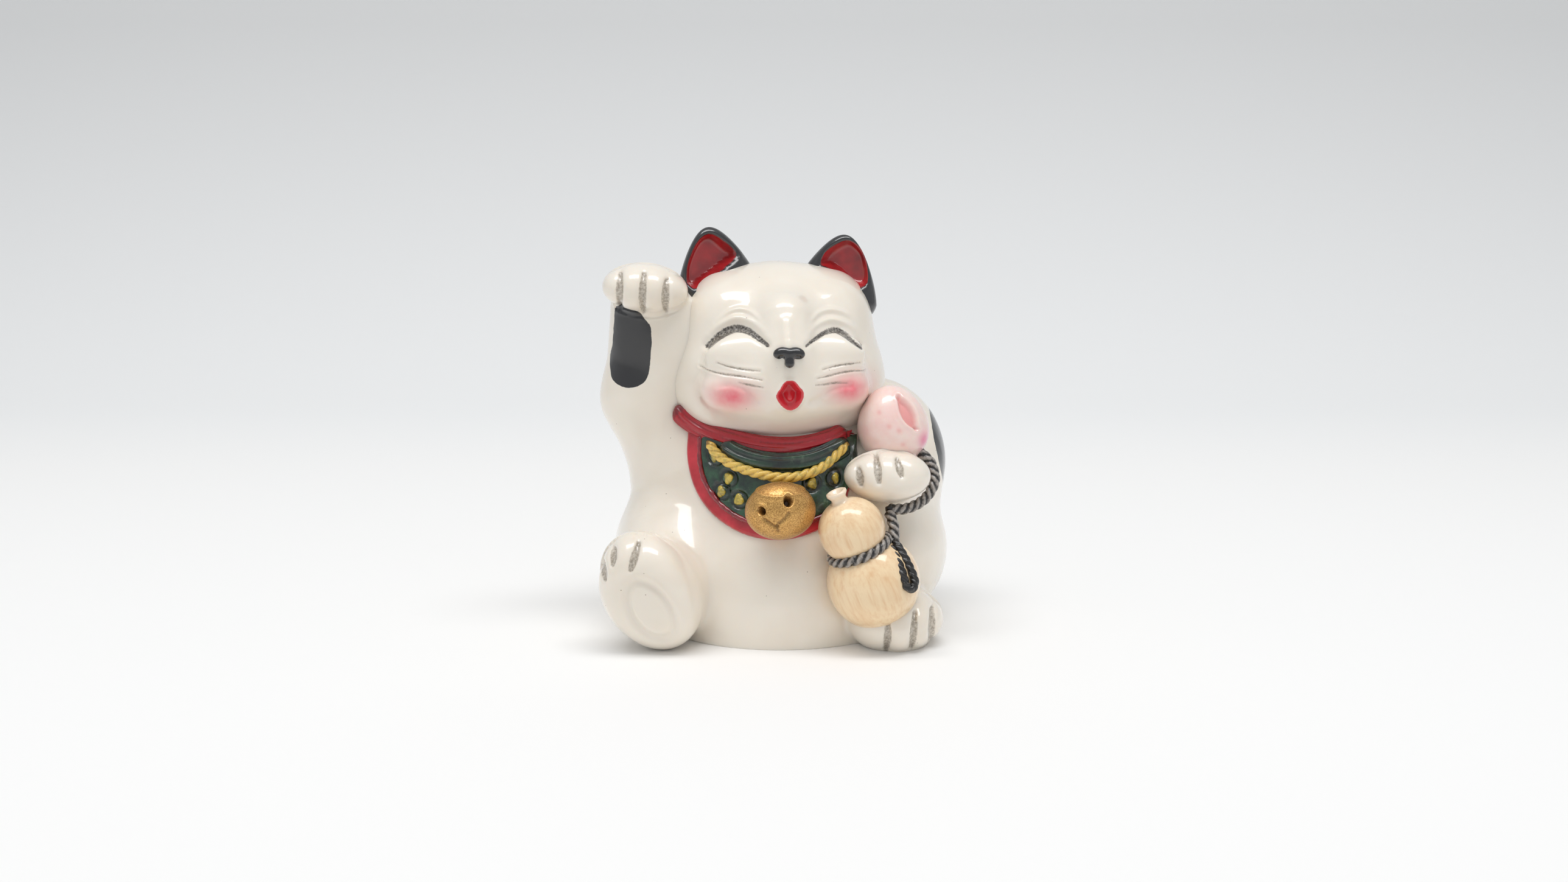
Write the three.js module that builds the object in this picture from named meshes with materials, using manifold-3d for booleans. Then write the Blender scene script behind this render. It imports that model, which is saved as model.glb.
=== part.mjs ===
// Lucky cat figurine: a seated cat with one paw raised, cast in one piece and painted by hand.
// Millimetres, +Z up. The cat faces -Y and +X is the viewer's right. The origin is the middle
// of the footprint's box, on the surface that the figurine stands on.
import * as THREE from "three";
import { mergeVertices } from "three/addons/utils/BufferGeometryUtils.js";
import Module from "manifold-3d";

const wasm = await Module();
wasm.setup();

// Driving dimensions
const BODY_CELL = 4.18; // spacing of the grid that the body's skin is drawn on
const HEAD_CELL = 3.15; // the same for the head
const HEAD_AT = [0.6, -1.2, 37.2]; // middle of the head
const HEAD_YAW = 6; // degrees the face is turned to the viewer's right
const TOE_LINE = [0.5, 0.42]; // depth and half width of the lines between the toes
const EYE_LINE = 0.42; // radius of the cut that draws a closed eye
const BIB_LIFT = 0.55; // how far the bib's hem stands off the chest
const CLOTH_LIFT = 0.95; // how far the green cloth stands off the chest
const COLLAR = [1, 1.5]; // half depth and half height of the rolled collar
const GOLD_CORD = 0.72; // radius of the cord that the bell hangs on
const ROPE = 0.8; // radius of the rope tied to the gourd
const STRAND_SWELL = 0.16; // how far the strands of a twisted cord bulge, as a share of its radius
const GOURD = { lower: 6.5, upper: 4.65, waist: 3.4, between: 8.2 };
const BELL = [4.9, 3.75, 4.05]; // half width, depth and height of the bell
const TABLE_SLAB = 20; // thickness of the block that cuts the underside flat
const MIDDLE = [0.24, -4.06]; // middle of the footprint's box in the frame that the cat is drawn in

// Paints, one material each
const PAINTS = {
  glaze: { color: 0xf1e9dd, roughness: 0.16 },
  black: { color: 0x24211f, roughness: 0.22 },
  ear_red: { color: 0xa81f22, roughness: 0.2 },
  line_brown: { color: 0x6f6455, roughness: 0.5 },
  collar_red: { color: 0xb3242f, roughness: 0.35 },
  cloth_green: { color: 0x2f4f3a, roughness: 0.35 },
  dot_yellow: { color: 0xd0b23c, roughness: 0.35 },
  cord_gold: { color: 0xd9a937, roughness: 0.35 },
  bell_gold: { color: 0xc49a5a, roughness: 0.32, metalness: 0.85 },
  gourd_straw: { color: 0xeecf9e, roughness: 0.25 },
  peach_pink: { color: 0xf4cfc6, roughness: 0.2 },
  rope_black: { color: 0x4a4642, roughness: 0.45 },
};
const paintNames = Object.keys(PAINTS);
const paintOf = new Map();

// Small helpers
const rad = THREE.MathUtils.degToRad;
const vec = (list) => new THREE.Vector3(...list);
const turnOf = (degrees = [0, 0, 0]) =>
  new THREE.Quaternion().setFromEuler(new THREE.Euler(...degrees.map(rad), "XYZ"));
const joined = (solids) => solids.reduce((all, next) => all.add(next));
const both = (make) => [make(-1), make(1)];

function solidOf(geometry, paint) {
  const bare = new THREE.BufferGeometry();
  bare.setAttribute("position", geometry.getAttribute("position"));
  if (geometry.index) bare.setIndex(geometry.index);
  const merged = mergeVertices(bare, 1e-4);
  const made = new wasm.Manifold(
    new wasm.Mesh({
      numProp: 3,
      vertProperties: new Float32Array(merged.attributes.position.array),
      triVerts: new Uint32Array(merged.index.array),
    }),
  );
  const marked = made.asOriginal();
  paintOf.set(marked.originalID(), paintNames.indexOf(paint));
  return marked;
}

// A geometry is turned and then moved to its place
function placed(geometry, at, degrees) {
  return geometry.applyQuaternion(turnOf(degrees)).translate(...at);
}

// Turns something modelled in the head's own frame into the figurine's frame
const onHead = (geometry) => placed(geometry, HEAD_AT, [0, 0, HEAD_YAW]);

// Calls change(point) for each vertex of a geometry and keeps what it makes of the point
function reshaped(geometry, change) {
  const position = geometry.getAttribute("position");
  const point = new THREE.Vector3();
  for (let n = 0; n < position.count; n++) {
    change(point.fromBufferAttribute(position, n));
    position.setXYZ(n, point.x, point.y, point.z);
  }
  return geometry;
}

// Fields: each mass gives about the distance from a point to its surface, negative inside
function ellipsoid(at, radii, degrees) {
  const back = turnOf(degrees).invert();
  const centre = vec(at);
  const local = new THREE.Vector3();
  return (point) => {
    local.copy(point).sub(centre).applyQuaternion(back);
    const [x, y, z] = [local.x / radii[0], local.y / radii[1], local.z / radii[2]];
    const near = Math.hypot(x, y, z);
    const slope = Math.hypot(x / radii[0], y / radii[1], z / radii[2]);
    return slope < 1e-9 ? -Math.min(...radii) : (near * (near - 1)) / slope;
  };
}

function limb(from, to, fromRadius, toRadius) {
  const start = vec(from);
  const along = vec(to).sub(start);
  const local = new THREE.Vector3();
  return (point) => {
    local.copy(point).sub(start);
    const share = THREE.MathUtils.clamp(local.dot(along) / along.lengthSq(), 0, 1);
    const radius = THREE.MathUtils.lerp(fromRadius, toRadius, share);
    return local.addScaledVector(along, -share).length() - radius;
  };
}

// Masses that flow into each other; a mass's blend is how wide its fillet is
function blended(masses) {
  return (point) => {
    let distance = masses[0].field(point);
    for (const { field, blend } of masses.slice(1)) {
      const other = field(point);
      const near = Math.max(blend - Math.abs(distance - other), 0) / blend;
      distance = Math.min(distance, other) - (near * near * blend) / 4;
    }
    return distance;
  };
}

function slopeOf(point, field) {
  const step = 0.05;
  const here = field(point);
  return new THREE.Vector3(
    field(point.clone().setX(point.x + step)) - here,
    field(point.clone().setY(point.y + step)) - here,
    field(point.clone().setZ(point.z + step)) - here,
  ).divideScalar(step);
}

// Moves a point onto the surface of a field, down its slope
function settle(point, field) {
  for (let pass = 0; pass < 4; pass++) {
    const slope = slopeOf(point, field);
    if (slope.lengthSq() < 1e-6) return;
    point.addScaledVector(slope, -field(point) / slope.lengthSq());
  }
}

// The first point of a field's surface that a look along +Y meets at x and z, moved out by lift
function onFront(field, x, z, lift) {
  const point = new THREE.Vector3(x, -40, z);
  while (field(point) > 0.01 && point.y < 40) point.y += Math.max(field(point) * 0.6, 0.01);
  return point.addScaledVector(slopeOf(point, field).normalize(), lift);
}

// Skin of a blended field: one vertex in each grid cell that the surface crosses
function skinOf(field, low, high, cell) {
  const count = [0, 1, 2].map((k) => Math.ceil((high[k] - low[k]) / cell) + 1);
  const index = (i, j, k) => (k * count[1] + j) * count[0] + i;
  const value = new Float64Array(count[0] * count[1] * count[2]);
  const eachCell = (first, visit) => {
    for (let k = first; k + 1 < count[2]; k++)
      for (let j = first; j + 1 < count[1]; j++)
        for (let i = first; i + 1 < count[0]; i++) visit(i, j, k);
  };
  const point = new THREE.Vector3();
  for (let k = 0; k < count[2]; k++)
    for (let j = 0; j < count[1]; j++)
      for (let i = 0; i < count[0]; i++)
        value[index(i, j, k)] = field(point.set(i, j, k).multiplyScalar(cell).add(vec(low)));
  const corners = [0, 1, 2, 3, 4, 5, 6, 7].map((n) => [n & 1, (n >> 1) & 1, n >> 2]);
  const vertices = [];
  const vertexOf = new Map();
  eachCell(0, (i, j, k) => {
    const at = corners.map(([a, b, c]) => value[index(i + a, j + b, k + c)]);
    const middle = new THREE.Vector3();
    let crossings = 0;
    for (let a = 0; a < 8; a++)
      for (const b of [a | 1, a | 2, a | 4]) {
        if (b === a || at[a] < 0 === at[b] < 0) continue;
        middle.add(vec(corners[a]).lerp(vec(corners[b]), at[a] / (at[a] - at[b])));
        crossings++;
      }
    if (crossings === 0) return;
    vertexOf.set(index(i, j, k), vertices.length);
    middle.divideScalar(crossings).add(point.set(i, j, k));
    vertices.push(middle.multiplyScalar(cell).add(vec(low)));
  });
  const quads = [];
  eachCell(1, (i, j, k) => {
    const here = value[index(i, j, k)] < 0;
    const differs = (a, b, c) => here !== value[index(i + a, j + b, k + c)] < 0;
    const add = (...steps) => {
      const quad = steps.map(([a, b, c]) => vertexOf.get(index(i - a, j - b, k - c)));
      quads.push(here ? quad : quad.reverse());
    };
    if (differs(1, 0, 0)) add([0, 1, 1], [0, 0, 1], [0, 0, 0], [0, 1, 0]);
    if (differs(0, 1, 0)) add([1, 0, 1], [1, 0, 0], [0, 0, 0], [0, 0, 1]);
    if (differs(0, 0, 1)) add([1, 1, 0], [0, 1, 0], [0, 0, 0], [1, 0, 0]);
  });
  relax(vertices, quads, field);
  return geometryOfQuads(vertices, quads);
}

// Evens out a skin: each vertex moves to the middle of its neighbours and back onto the field
function relax(vertices, quads, field) {
  const neighbours = vertices.map(() => new Set());
  for (const quad of quads)
    quad.forEach((v, n) => neighbours[v].add(quad[(n + 1) % 4]).add(quad[(n + 3) % 4]));
  for (let pass = 0; pass < 4; pass++) {
    const middles = neighbours.map((near) => {
      const sum = new THREE.Vector3();
      near.forEach((n) => sum.add(vertices[n]));
      return sum.divideScalar(near.size);
    });
    vertices.forEach((v, n) => settle(v.lerp(middles[n], 0.7), field));
  }
}

function geometryOfQuads(vertices, quads) {
  const across = (a, b) => vertices[a].distanceTo(vertices[b]);
  const faces = quads.flatMap(([a, b, c, d]) =>
    across(a, c) < across(b, d) ? [a, b, c, a, c, d] : [a, b, d, b, c, d],
  );
  const geometry = new THREE.BufferGeometry();
  geometry.setAttribute("position", new THREE.Float32BufferAttribute(vertices.flatMap((v) => [...v]), 3));
  geometry.setIndex(faces);
  return geometry;
}

// A closed tube along a curve. outward is the side that the section's first axis faces.
// section(angle, share) gives the two half axes; a twist has lobes that wind once each pitch.
function sweep(points, section, { steps, sides = 8, outward = [0, -1, 0], lobes = 0, pitch = 1 }) {
  const curve = new THREE.CatmullRomCurve3(points.map(vec));
  const length = curve.getLength();
  const vertices = [];
  const quads = [];
  for (let n = 0; n <= steps; n++) {
    const share = n / steps;
    const wind = lobes ? (2 * Math.PI * share * length) / pitch : 0;
    const centre = curve.getPointAt(share);
    const along = curve.getTangentAt(share);
    const across = new THREE.Vector3().crossVectors(vec(outward), along).normalize();
    const out = new THREE.Vector3().crossVectors(along, across).normalize();
    const [deep, high] = section(share);
    for (let side = 0; side < sides; side++) {
      const round = (2 * Math.PI * side) / sides;
      const swell = lobes ? 1 + STRAND_SWELL * Math.cos(lobes * round) : 1;
      const offset = out.clone().multiplyScalar(deep * swell * Math.cos(round + wind));
      vertices.push(offset.addScaledVector(across, high * swell * Math.sin(round + wind)).add(centre));
      const [here, next] = [n * sides + side, n * sides + ((side + 1) % sides)];
      if (n < steps) quads.push([here + sides, next + sides, next, here]);
    }
  }
  const geometry = geometryOfQuads(vertices, quads);
  const faces = [...geometry.index.array];
  const last = steps * sides;
  for (let side = 1; side + 1 < sides; side++) faces.push(0, side, side + 1, last, last + side + 1, last + side);
  geometry.setIndex(faces);
  return geometry;
}

// Body: haunches, belly, chest, the raised arm, and the arm that holds the peach
const bodyField = blended([
  { field: ellipsoid([1, -2.8, 3.5], [18.3, 17.4, 20]) },
  { field: ellipsoid([-12.6, -0.5, 10.5], [10, 14.5, 11]), blend: 4 },
  { field: ellipsoid([15.4, -0.5, 10.5], [10.4, 14.5, 11]), blend: 4 },
  { field: ellipsoid([1, -0.4, 22], [15.2, 14.4, 14]), blend: 6 },
  { field: limb([-13.9, 0, 24.5], [-18.8, -1.2, 33], 8, 5.8), blend: 5 },
  { field: limb([-18.8, -1.2, 33], [-19, -3.4, 46], 5.8, 4.4), blend: 3 },
  { field: ellipsoid([-13, -3, 41], [5, 4.5, 8]), blend: 4 },
  { field: ellipsoid([14.2, 3.5, 23.2], [11.4, 9.5, 12]), blend: 4 },
  { field: limb([17.4, -1, 22], [16.4, -12, 23.4], 6.6, 4.4), blend: 4 },
  { field: limb([-13.5, -4, 10], [-15.8, -15, 8.6], 9, 6.4), blend: 4 },
]);

// Head: skull, jowls, muzzle, and the swellings of a smiling face, in the head's own frame
const headField = blended([
  { field: ellipsoid([0, 1, 3.2], [13.8, 13.6, 12.3]) },
  { field: ellipsoid([0, -0.5, -2.2], [15.5, 13.4, 9.6]), blend: 5 },
  ...both((side) => ({ field: ellipsoid([side * 7.8, 1, 8.6], [5, 8, 5]), blend: 4 })),
  { field: ellipsoid([0, -12.2, -0.6], [6.4, 4.9, 5]), blend: 4 },
  { field: limb([0, -11.2, 8.4], [0, -14.4, 4.4], 2.8, 2.1), blend: 4 },
  ...both((side) => ({ field: ellipsoid([side * 7.8, -11.4, -1.4], [3.8, 3, 2.8]), blend: 3 })),
  ...both((side) => ({ field: ellipsoid([side * 6.8, -11.2, 3.4], [4.4, 2.6, 2.8]), blend: 2 })),
]);

// The chest and the head as one field, in the figurine's frame, for what is wrapped round the neck
const toHead = turnOf([0, 0, -HEAD_YAW]);
const wholeField = (point) =>
  Math.min(bodyField(point), headField(point.clone().sub(vec(HEAD_AT)).applyQuaternion(toHead)));

const closedBelow = (point) => Math.max(bodyField(point), -3 - point.z);
const body = () => solidOf(skinOf(closedBelow, [-33, -30, -9], [34, 27, 58], BODY_CELL), "glaze");
const headSkin = () => skinOf(headField, [-24, -24, -19], [24, 22, 22], HEAD_CELL);

// A closed eye is an arch cut into the lid; two soft ridges follow it above
function arch(side, middle, halfWidth, foot, rise, lift) {
  return [-1, -0.5, 0, 0.5, 1].map((share) => {
    const x = side * (middle + share * halfWidth);
    const z = foot + rise * (1 - share * share);
    return [...onFront(headField, x, z, lift)];
  });
}

function head() {
  const swelling = (most) => (share) => [1, 1].map(() => 0.15 + most * Math.sin(Math.PI * share));
  const eyeCut = (side) =>
    sweep(arch(side, 6.9, 4, 4.5, 2.6, 0.05), () => [EYE_LINE, EYE_LINE], { steps: 7, sides: 4 });
  const brow = (side) =>
    sweep(arch(side, 6.8, 4.4, 5.5, 3.2, -0.2), swelling(0.75), { steps: 7, sides: 5 });
  const mouth = reshaped(new THREE.SphereGeometry(1, 10, 7).scale(1.55, 1.6, 1.95), (point) => {
    point.x *= 1 - 0.2 * point.z;
  });
  const mouthAt = onFront(headField, 0.1, -1.6, 0.2);
  const brows = both((side) => solidOf(onHead(brow(side)), "glaze"));
  return joined([solidOf(onHead(headSkin()), "glaze"), ...brows])
    .subtract(joined(both((side) => solidOf(onHead(eyeCut(side)), "line_brown"))))
    .subtract(solidOf(onHead(placed(mouth, [...mouthAt])), "ear_red"))
    .add(nose());
}

// Nose: two wings and a short stem between them
function nose() {
  const pad = (x, z, radii) => {
    const at = onFront(headField, x, z, 0);
    return solidOf(onHead(new THREE.SphereGeometry(1, 8, 6).scale(...radii).translate(...at)), "black");
  };
  const wings = both((side) => pad(side * 1.15, 4.2, [1.35, 0.9, 1.05]));
  return joined([...wings, pad(0, 4, [1.1, 1.1, 1.3])]);
}

// An ear is a tapering petal with its front scooped out
function petal(radii, segments, rings) {
  return reshaped(new THREE.SphereGeometry(1, segments, rings).rotateX(Math.PI / 2), (point) => {
    const taper = 1 - 0.36 * Math.max(point.z, 0);
    point.x *= taper;
    point.y *= taper;
    if (point.z < 0) point.z *= 0.45;
    point.multiply(vec(radii));
  });
}

function ear(side) {
  const at = [side * 8.5, 0.8, 10.8 - side * 0.6];
  const lean = [4, side * 10, side * -14];
  const shell = solidOf(onHead(placed(petal([6.3, 3.4, 9.2], 13, 9), at, lean)), "black");
  const scoop = petal([5.6, 3.3, 8.3], 11, 7).translate(0, -2.5, 0.1);
  return shell.subtract(solidOf(onHead(placed(scoop, at, lean)), "ear_red"));
}

// Paws: rounded forms with lines cut between the toes. A line is given as [x, z] at its two
// ends, and follows the front of the form, whose depth at x and z is given by front.
const oval = (radii, power) => (x, z) =>
  -radii[1] * Math.pow(Math.max(1 - Math.hypot(x / radii[0], z / radii[2]) ** power, 0.02), 0.5);

function withToes(form, front, lines, at, degrees) {
  const cut = ([[x, z], [endX, endZ]]) => {
    const points = [0, 0.25, 0.5, 0.75, 1].map((share) => {
      const [u, w] = [THREE.MathUtils.lerp(x, endX, share), THREE.MathUtils.lerp(z, endZ, share)];
      return [u, front(u, w), w];
    });
    const line = sweep(points, () => TOE_LINE, { steps: 3, sides: 4 });
    return solidOf(placed(line, at, degrees), "line_brown");
  };
  return solidOf(placed(form, at, degrees), "glaze").subtract(joined(lines.map(cut)));
}

function ovalPaw(radii, lines, at, degrees) {
  const form = new THREE.SphereGeometry(1, 14, 9).scale(...radii);
  return withToes(form, oval(radii, 2), lines, at, degrees);
}

function raisedPaw() {
  const lines = [-3.5, 0, 3.3].map((x) => [[x, 2.2], [x * 0.96, -3.1]]);
  return ovalPaw([6.1, 4.8, 3.7], lines, [-18.1, -6.6, 49.2], [0, 5, 0]);
}

function holdingPaw() {
  const lines = [[[-4.2, 1.8], [-4, -0.6]], [[-1.7, 3.4], [-1.4, 0]], [[1.2, 3.4], [1.6, 0.8]]];
  return ovalPaw([6.1, 4.3, 3.7], lines, [16, -15, 23.8], [0, 0, 0]);
}

// The right foot's flat sole faces the viewer, toes up and out, with a sunken ring for the pad
function soleFoot() {
  const radii = [6.8, 4.8, 8.9];
  const [at, degrees] = [[-16.9, -19.4, 8.5], [8, -27, -10]];
  const form = reshaped(new THREE.SphereGeometry(1, 18, 10).rotateX(Math.PI / 2), (point) => {
    point.y *= Math.hypot(1, point.x, point.z);
    point.multiply(vec(radii));
  });
  const lines = [[[-3.8, 6.6], [-3.4, 4.2]], [[-1, 8], [-0.8, 5.6]], [[2.2, 8], [2.3, 5.4]]];
  const [halfWide, halfTall] = [2.8, 4.7];
  const moat = (from) => {
    const half = Array.from({ length: 9 }, (_, n) => {
      const angle = rad(from + 24 * n);
      const [x, z] = [0.5 + halfWide * Math.cos(angle), -1.3 + halfTall * Math.sin(angle)];
      return [x, oval(radii, 4)(x, z), z];
    });
    return solidOf(placed(sweep(half, () => [0.4, 0.75], { steps: 8, sides: 4 }), at, degrees), "glaze");
  };
  return withToes(form, oval(radii, 4), lines, at, degrees).subtract(joined([moat(-6), moat(174)]));
}

function flatFoot() {
  const lines = [[[-1.4, 0.8], [-1.5, -3.2]], [[2.6, 2], [2.2, -2.9]], [[5.3, 2], [5.2, -2.6]]];
  return ovalPaw([7, 8, 4.8], lines, [17.2, -15.2, 3.4], [0, 0, 0]);
}

// Collar: a rolled band under the jaw, and plain round the nape
function collar() {
  const front = [
    [-13.8, 31.9], [-12.2, 31], [-9.6, 29.6], [-5.8, 28.3],
    [-1.3, 27.6], [3.2, 27.5], [7.7, 28.2], [10.2, 29],
  ];
  const points = front.map(([x, z]) => [...onFront(wholeField, x, z, 0.3)]);
  const section = (share) => COLLAR.map((half) => half * Math.min(1, 0.6 + 6 * share, 0.6 + 6 * (1 - share)));
  const band = sweep(points, section, { steps: 14, sides: 6 });
  const nape = [-58, -38, -16, 6, 26, 42].map((degrees) => {
    const middle = vec([0.5, 1, 30.8 + 3 * Math.sin(rad(degrees)) ** 2]);
    const point = vec([Math.sin(rad(degrees)), Math.cos(rad(degrees)), 0]).multiplyScalar(30).add(middle);
    while (wholeField(point) > -0.1) point.lerp(middle, 0.02);
    return [...point];
  });
  const back = sweep(nape, () => COLLAR, { steps: 8, sides: 6, outward: [0, 1, 0] });
  return [solidOf(band, "collar_red"), solidOf(back, "collar_red")];
}

// A cloth lying on the chest: its front is lifted off the body, its back is sunk in it
function clothPatch(top, edge, lift, paint) {
  const [columns, rows, sunk] = [10, 2, 2.5];
  const flat = (list) => new THREE.CatmullRomCurve3(list.map(([x, z]) => vec([x, 0, z])));
  const [topCurve, edgeCurve] = [flat(top), flat(edge)];
  const vertices = [];
  const quads = [];
  const layer = (columns + 1) * (rows + 1);
  const at = (face, i, j) => face * layer + j * (columns + 1) + i;
  for (const face of [0, 1])
    for (let j = 0; j <= rows; j++)
      for (let i = 0; i <= columns; i++) {
        const share = i / columns;
        const { x, z } = topCurve.getPointAt(share).lerp(edgeCurve.getPointAt(share), j / rows);
        vertices.push(onFront(bodyField, x, z, face ? -sunk : lift));
      }
  for (let j = 0; j < rows; j++)
    for (let i = 0; i < columns; i++) {
      quads.push([at(0, i, j), at(0, i, j + 1), at(0, i + 1, j + 1), at(0, i + 1, j)]);
      quads.push([at(1, i, j), at(1, i + 1, j), at(1, i + 1, j + 1), at(1, i, j + 1)]);
    }
  const rim = [];
  for (let j = 0; j < rows; j++) rim.push([0, j]);
  for (let i = 0; i < columns; i++) rim.push([i, rows]);
  for (let j = rows; j > 0; j--) rim.push([columns, j]);
  for (let i = columns; i > 0; i--) rim.push([i, 0]);
  rim.forEach(([i, j], n) => {
    const [p, q] = rim[(n + 1) % rim.length];
    quads.push([at(0, i, j), at(1, i, j), at(1, p, q), at(0, p, q)]);
  });
  return solidOf(geometryOfQuads(vertices, quads), paint);
}

const HEM_TOP = [[-11.8, 30], [-4, 28.4], [3, 28.2], [11, 29]];
const HEM = [
  [-12.2, 29], [-12.2, 25], [-10.9, 20.8], [-8, 17.6], [-3.7, 15.6], [1.5, 15.1],
  [6.4, 16.2], [9.6, 18.6], [11, 22], [11.2, 26], [11, 28.5],
];
const CLOTH_TOP = [[-9.8, 29], [-4, 27.6], [3, 27.4], [11.4, 28.2]];
const CLOTH = [
  [-10, 28], [-9.9, 24.6], [-8.8, 21.6], [-6.4, 19], [-2.9, 17.3], [1.5, 16.8],
  [5.6, 17.6], [9, 19.6], [11.4, 22.6], [12, 25.4], [11.9, 28],
];
const DOTS = [[-7.7, 25.8], [-5.8, 23.1], [-6.8, 21.2], [-4.4, 20.3], [5.3, 22.6], [8.4, 23.1]];

function bib() {
  const dots = DOTS.map(([x, z]) => {
    const spot = onFront(bodyField, x, z, CLOTH_LIFT);
    return solidOf(placed(new THREE.SphereGeometry(1, 6, 4).scale(0.85, 0.6, 0.85), [...spot]), "dot_yellow");
  });
  const fold = [[-6.4, 26.6], [-2.5, 25.5], [1.8, 25.2], [5.6, 25.6], [8.8, 26.6]];
  const roll = fold.map(([x, z]) => [...onFront(bodyField, x, z, 0.9)]);
  return [
    clothPatch(HEM_TOP, HEM, BIB_LIFT, "collar_red"),
    clothPatch(CLOTH_TOP, CLOTH, CLOTH_LIFT, "cloth_green"),
    solidOf(sweep(roll, () => [0.6, 0.9], { steps: 8, sides: 5 }), "cloth_green"),
    ...dots,
  ];
}

// Gold cord in a shallow curve under the collar, and the bell that hangs at its lowest point
function cordAndBell() {
  const hang = [[-7.9, 26.9], [-5.6, 25.2], [-2.2, 24.1], [2.2, 23.5], [6.1, 24.4], [9.6, 26.6]];
  const points = hang.map(([x, z]) => [...onFront(bodyField, x, z, CLOTH_LIFT + 0.35)]);
  const cord = sweep(points, () => [GOLD_CORD, GOLD_CORD], { steps: 15, sides: 6, lobes: 3, pitch: 5 });
  const [at, degrees] = [[1.1, -19.9, 19.9], [10, 0, 8]];
  const profile = Array.from({ length: 11 }, (_, n) => {
    const angle = (Math.PI * n) / 10;
    const ridge = n === 4 ? 1.06 : 1;
    return new THREE.Vector2(n % 10 === 0 ? 0 : Math.sin(angle) * ridge, -Math.cos(angle));
  });
  const ball = new THREE.LatheGeometry(profile, 14).scale(...BELL);
  const hole = ([x, z]) => new THREE.CylinderGeometry(0.75, 0.75, 3, 6).translate(x, -BELL[1], z);
  const slit = ([x, z], angle, length) =>
    placed(new THREE.BoxGeometry(length, 2.4, 0.4), [x, -BELL[1] + 0.2, z], [0, angle, 0]);
  const cuts = [hole([0.8, 2]), hole([-2.7, 1.1]), slit([-1.5, 0.1], 30, 2.4), slit([0.2, 0.4], -50, 2.8)];
  return [
    solidOf(cord, "cord_gold"),
    solidOf(placed(ball, at, degrees), "bell_gold").subtract(
      joined(cuts.map((cut) => solidOf(placed(cut, at, degrees), "bell_gold"))),
    ),
  ];
}

// Gourd: two bulbs and a stem, turned on its own axis, with a rope tied round its waist
const GOURD_AT = [14, -19, 9.6];
const GOURD_AXIS = new THREE.Vector3(-3.1, -0.9, 7.6).normalize();

function gourd() {
  const arc = (radius, centre, from, to, steps) =>
    Array.from({ length: steps + 1 }, (_, n) => {
      const angle = THREE.MathUtils.lerp(from, to, n / steps);
      return new THREE.Vector2(radius * Math.sin(angle), centre - radius * Math.cos(angle));
    });
  const waistLow = Math.asin(GOURD.waist / GOURD.lower);
  const waistHigh = Math.asin(GOURD.waist / GOURD.upper);
  const stemFoot = GOURD.between + GOURD.upper;
  const profile = [
    ...arc(GOURD.lower, 0, 0, Math.PI - waistLow, 7),
    ...arc(GOURD.upper, GOURD.between, waistHigh, Math.PI - 0.24, 5),
    new THREE.Vector2(1.05, stemFoot + 0.1),
    new THREE.Vector2(1.5, stemFoot + 1.3),
    new THREE.Vector2(0, stemFoot + 1.3),
  ];
  profile[0].x = 0;
  const turned = new THREE.LatheGeometry(profile, 14).rotateX(Math.PI / 2);
  turned.applyQuaternion(new THREE.Quaternion().setFromUnitVectors(vec([0, 0, 1]), GOURD_AXIS));
  return solidOf(turned.translate(...GOURD_AT), "gourd_straw");
}

function rope() {
  const twisted = (points, steps, outward) =>
    solidOf(sweep(points, () => [ROPE, ROPE], { steps, sides: 6, lobes: 3, pitch: 5, outward }), "rope_black");
  const waist = vec(GOURD_AT).addScaledVector(GOURD_AXIS, GOURD.between * 0.65);
  const side = new THREE.Vector3().crossVectors(vec([0, 1, 0]), GOURD_AXIS).normalize();
  const front = new THREE.Vector3().crossVectors(side, GOURD_AXIS).normalize();
  const round = [-15, 20, 55, 90, 125, 160, 195].map((degrees) => {
    const out = side.clone().multiplyScalar(Math.cos(rad(degrees)));
    out.addScaledVector(front, Math.sin(rad(degrees)));
    return [...waist.clone().addScaledVector(out, GOURD.waist + ROPE * 0.8)];
  });
  const grip = [
    [20.4, -11.2, 26.2], [22.4, -12, 24.9], [22.8, -13, 22.6], [21.4, -14.2, 20.4], [18.8, -15.6, 19.3],
    [15.8, -16.6, 19.4],
  ];
  const drop = [[16.2, -16.8, 18.8], [16.8, -18.2, 16.8], [16.6, -19.8, 14.8]];
  const loopDown = [[16.6, -19.6, 15.4], [18, -21.4, 14.6], [19.4, -22.9, 12.6], [19.2, -23.8, 10.8]];
  const loopUp = [
    [19.2, -23.8, 10.8], [18.2, -24.2, 10.2], [17.6, -24, 11.6], [17, -22.8, 13.6], [16.4, -20.6, 15],
  ];
  return [
    twisted(round, 10, [...GOURD_AXIS]),
    twisted(grip, 10, [0, -1, 0]),
    twisted(drop, 4, [1, 0, 0]),
    twisted(loopDown, 5, [0.3, -1, 0]),
    twisted(loopUp, 6, [0.3, -1, 0]),
  ];
}

// Peach: a round fruit that comes to a point, with the cleft that runs down from it
function peach() {
  const [radius, height] = [5.1, 5.2];
  const profile = Array.from({ length: 11 }, (_, n) => {
    const angle = (Math.PI * n) / 10;
    const tip = ((1 - Math.cos(angle)) / 2) ** 4 * 1.1;
    return new THREE.Vector2(n % 10 === 0 ? 0 : radius * Math.sin(angle), tip - height * Math.cos(angle));
  });
  const [at, degrees] = [[17.1, -10, 29.6], [4, -8, 0]];
  const ball = new THREE.LatheGeometry(profile, 14).rotateX(Math.PI / 2);
  const fruit = solidOf(placed(ball, at, degrees), "peach_pink");
  const cleft = new THREE.SphereGeometry(1, 6, 6).scale(0.8, 1.2, 2.5);
  return fruit.subtract(solidOf(placed(cleft, [18.5, -14, 32.3], [-22, -24, 0]), "peach_pink"));
}

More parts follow.
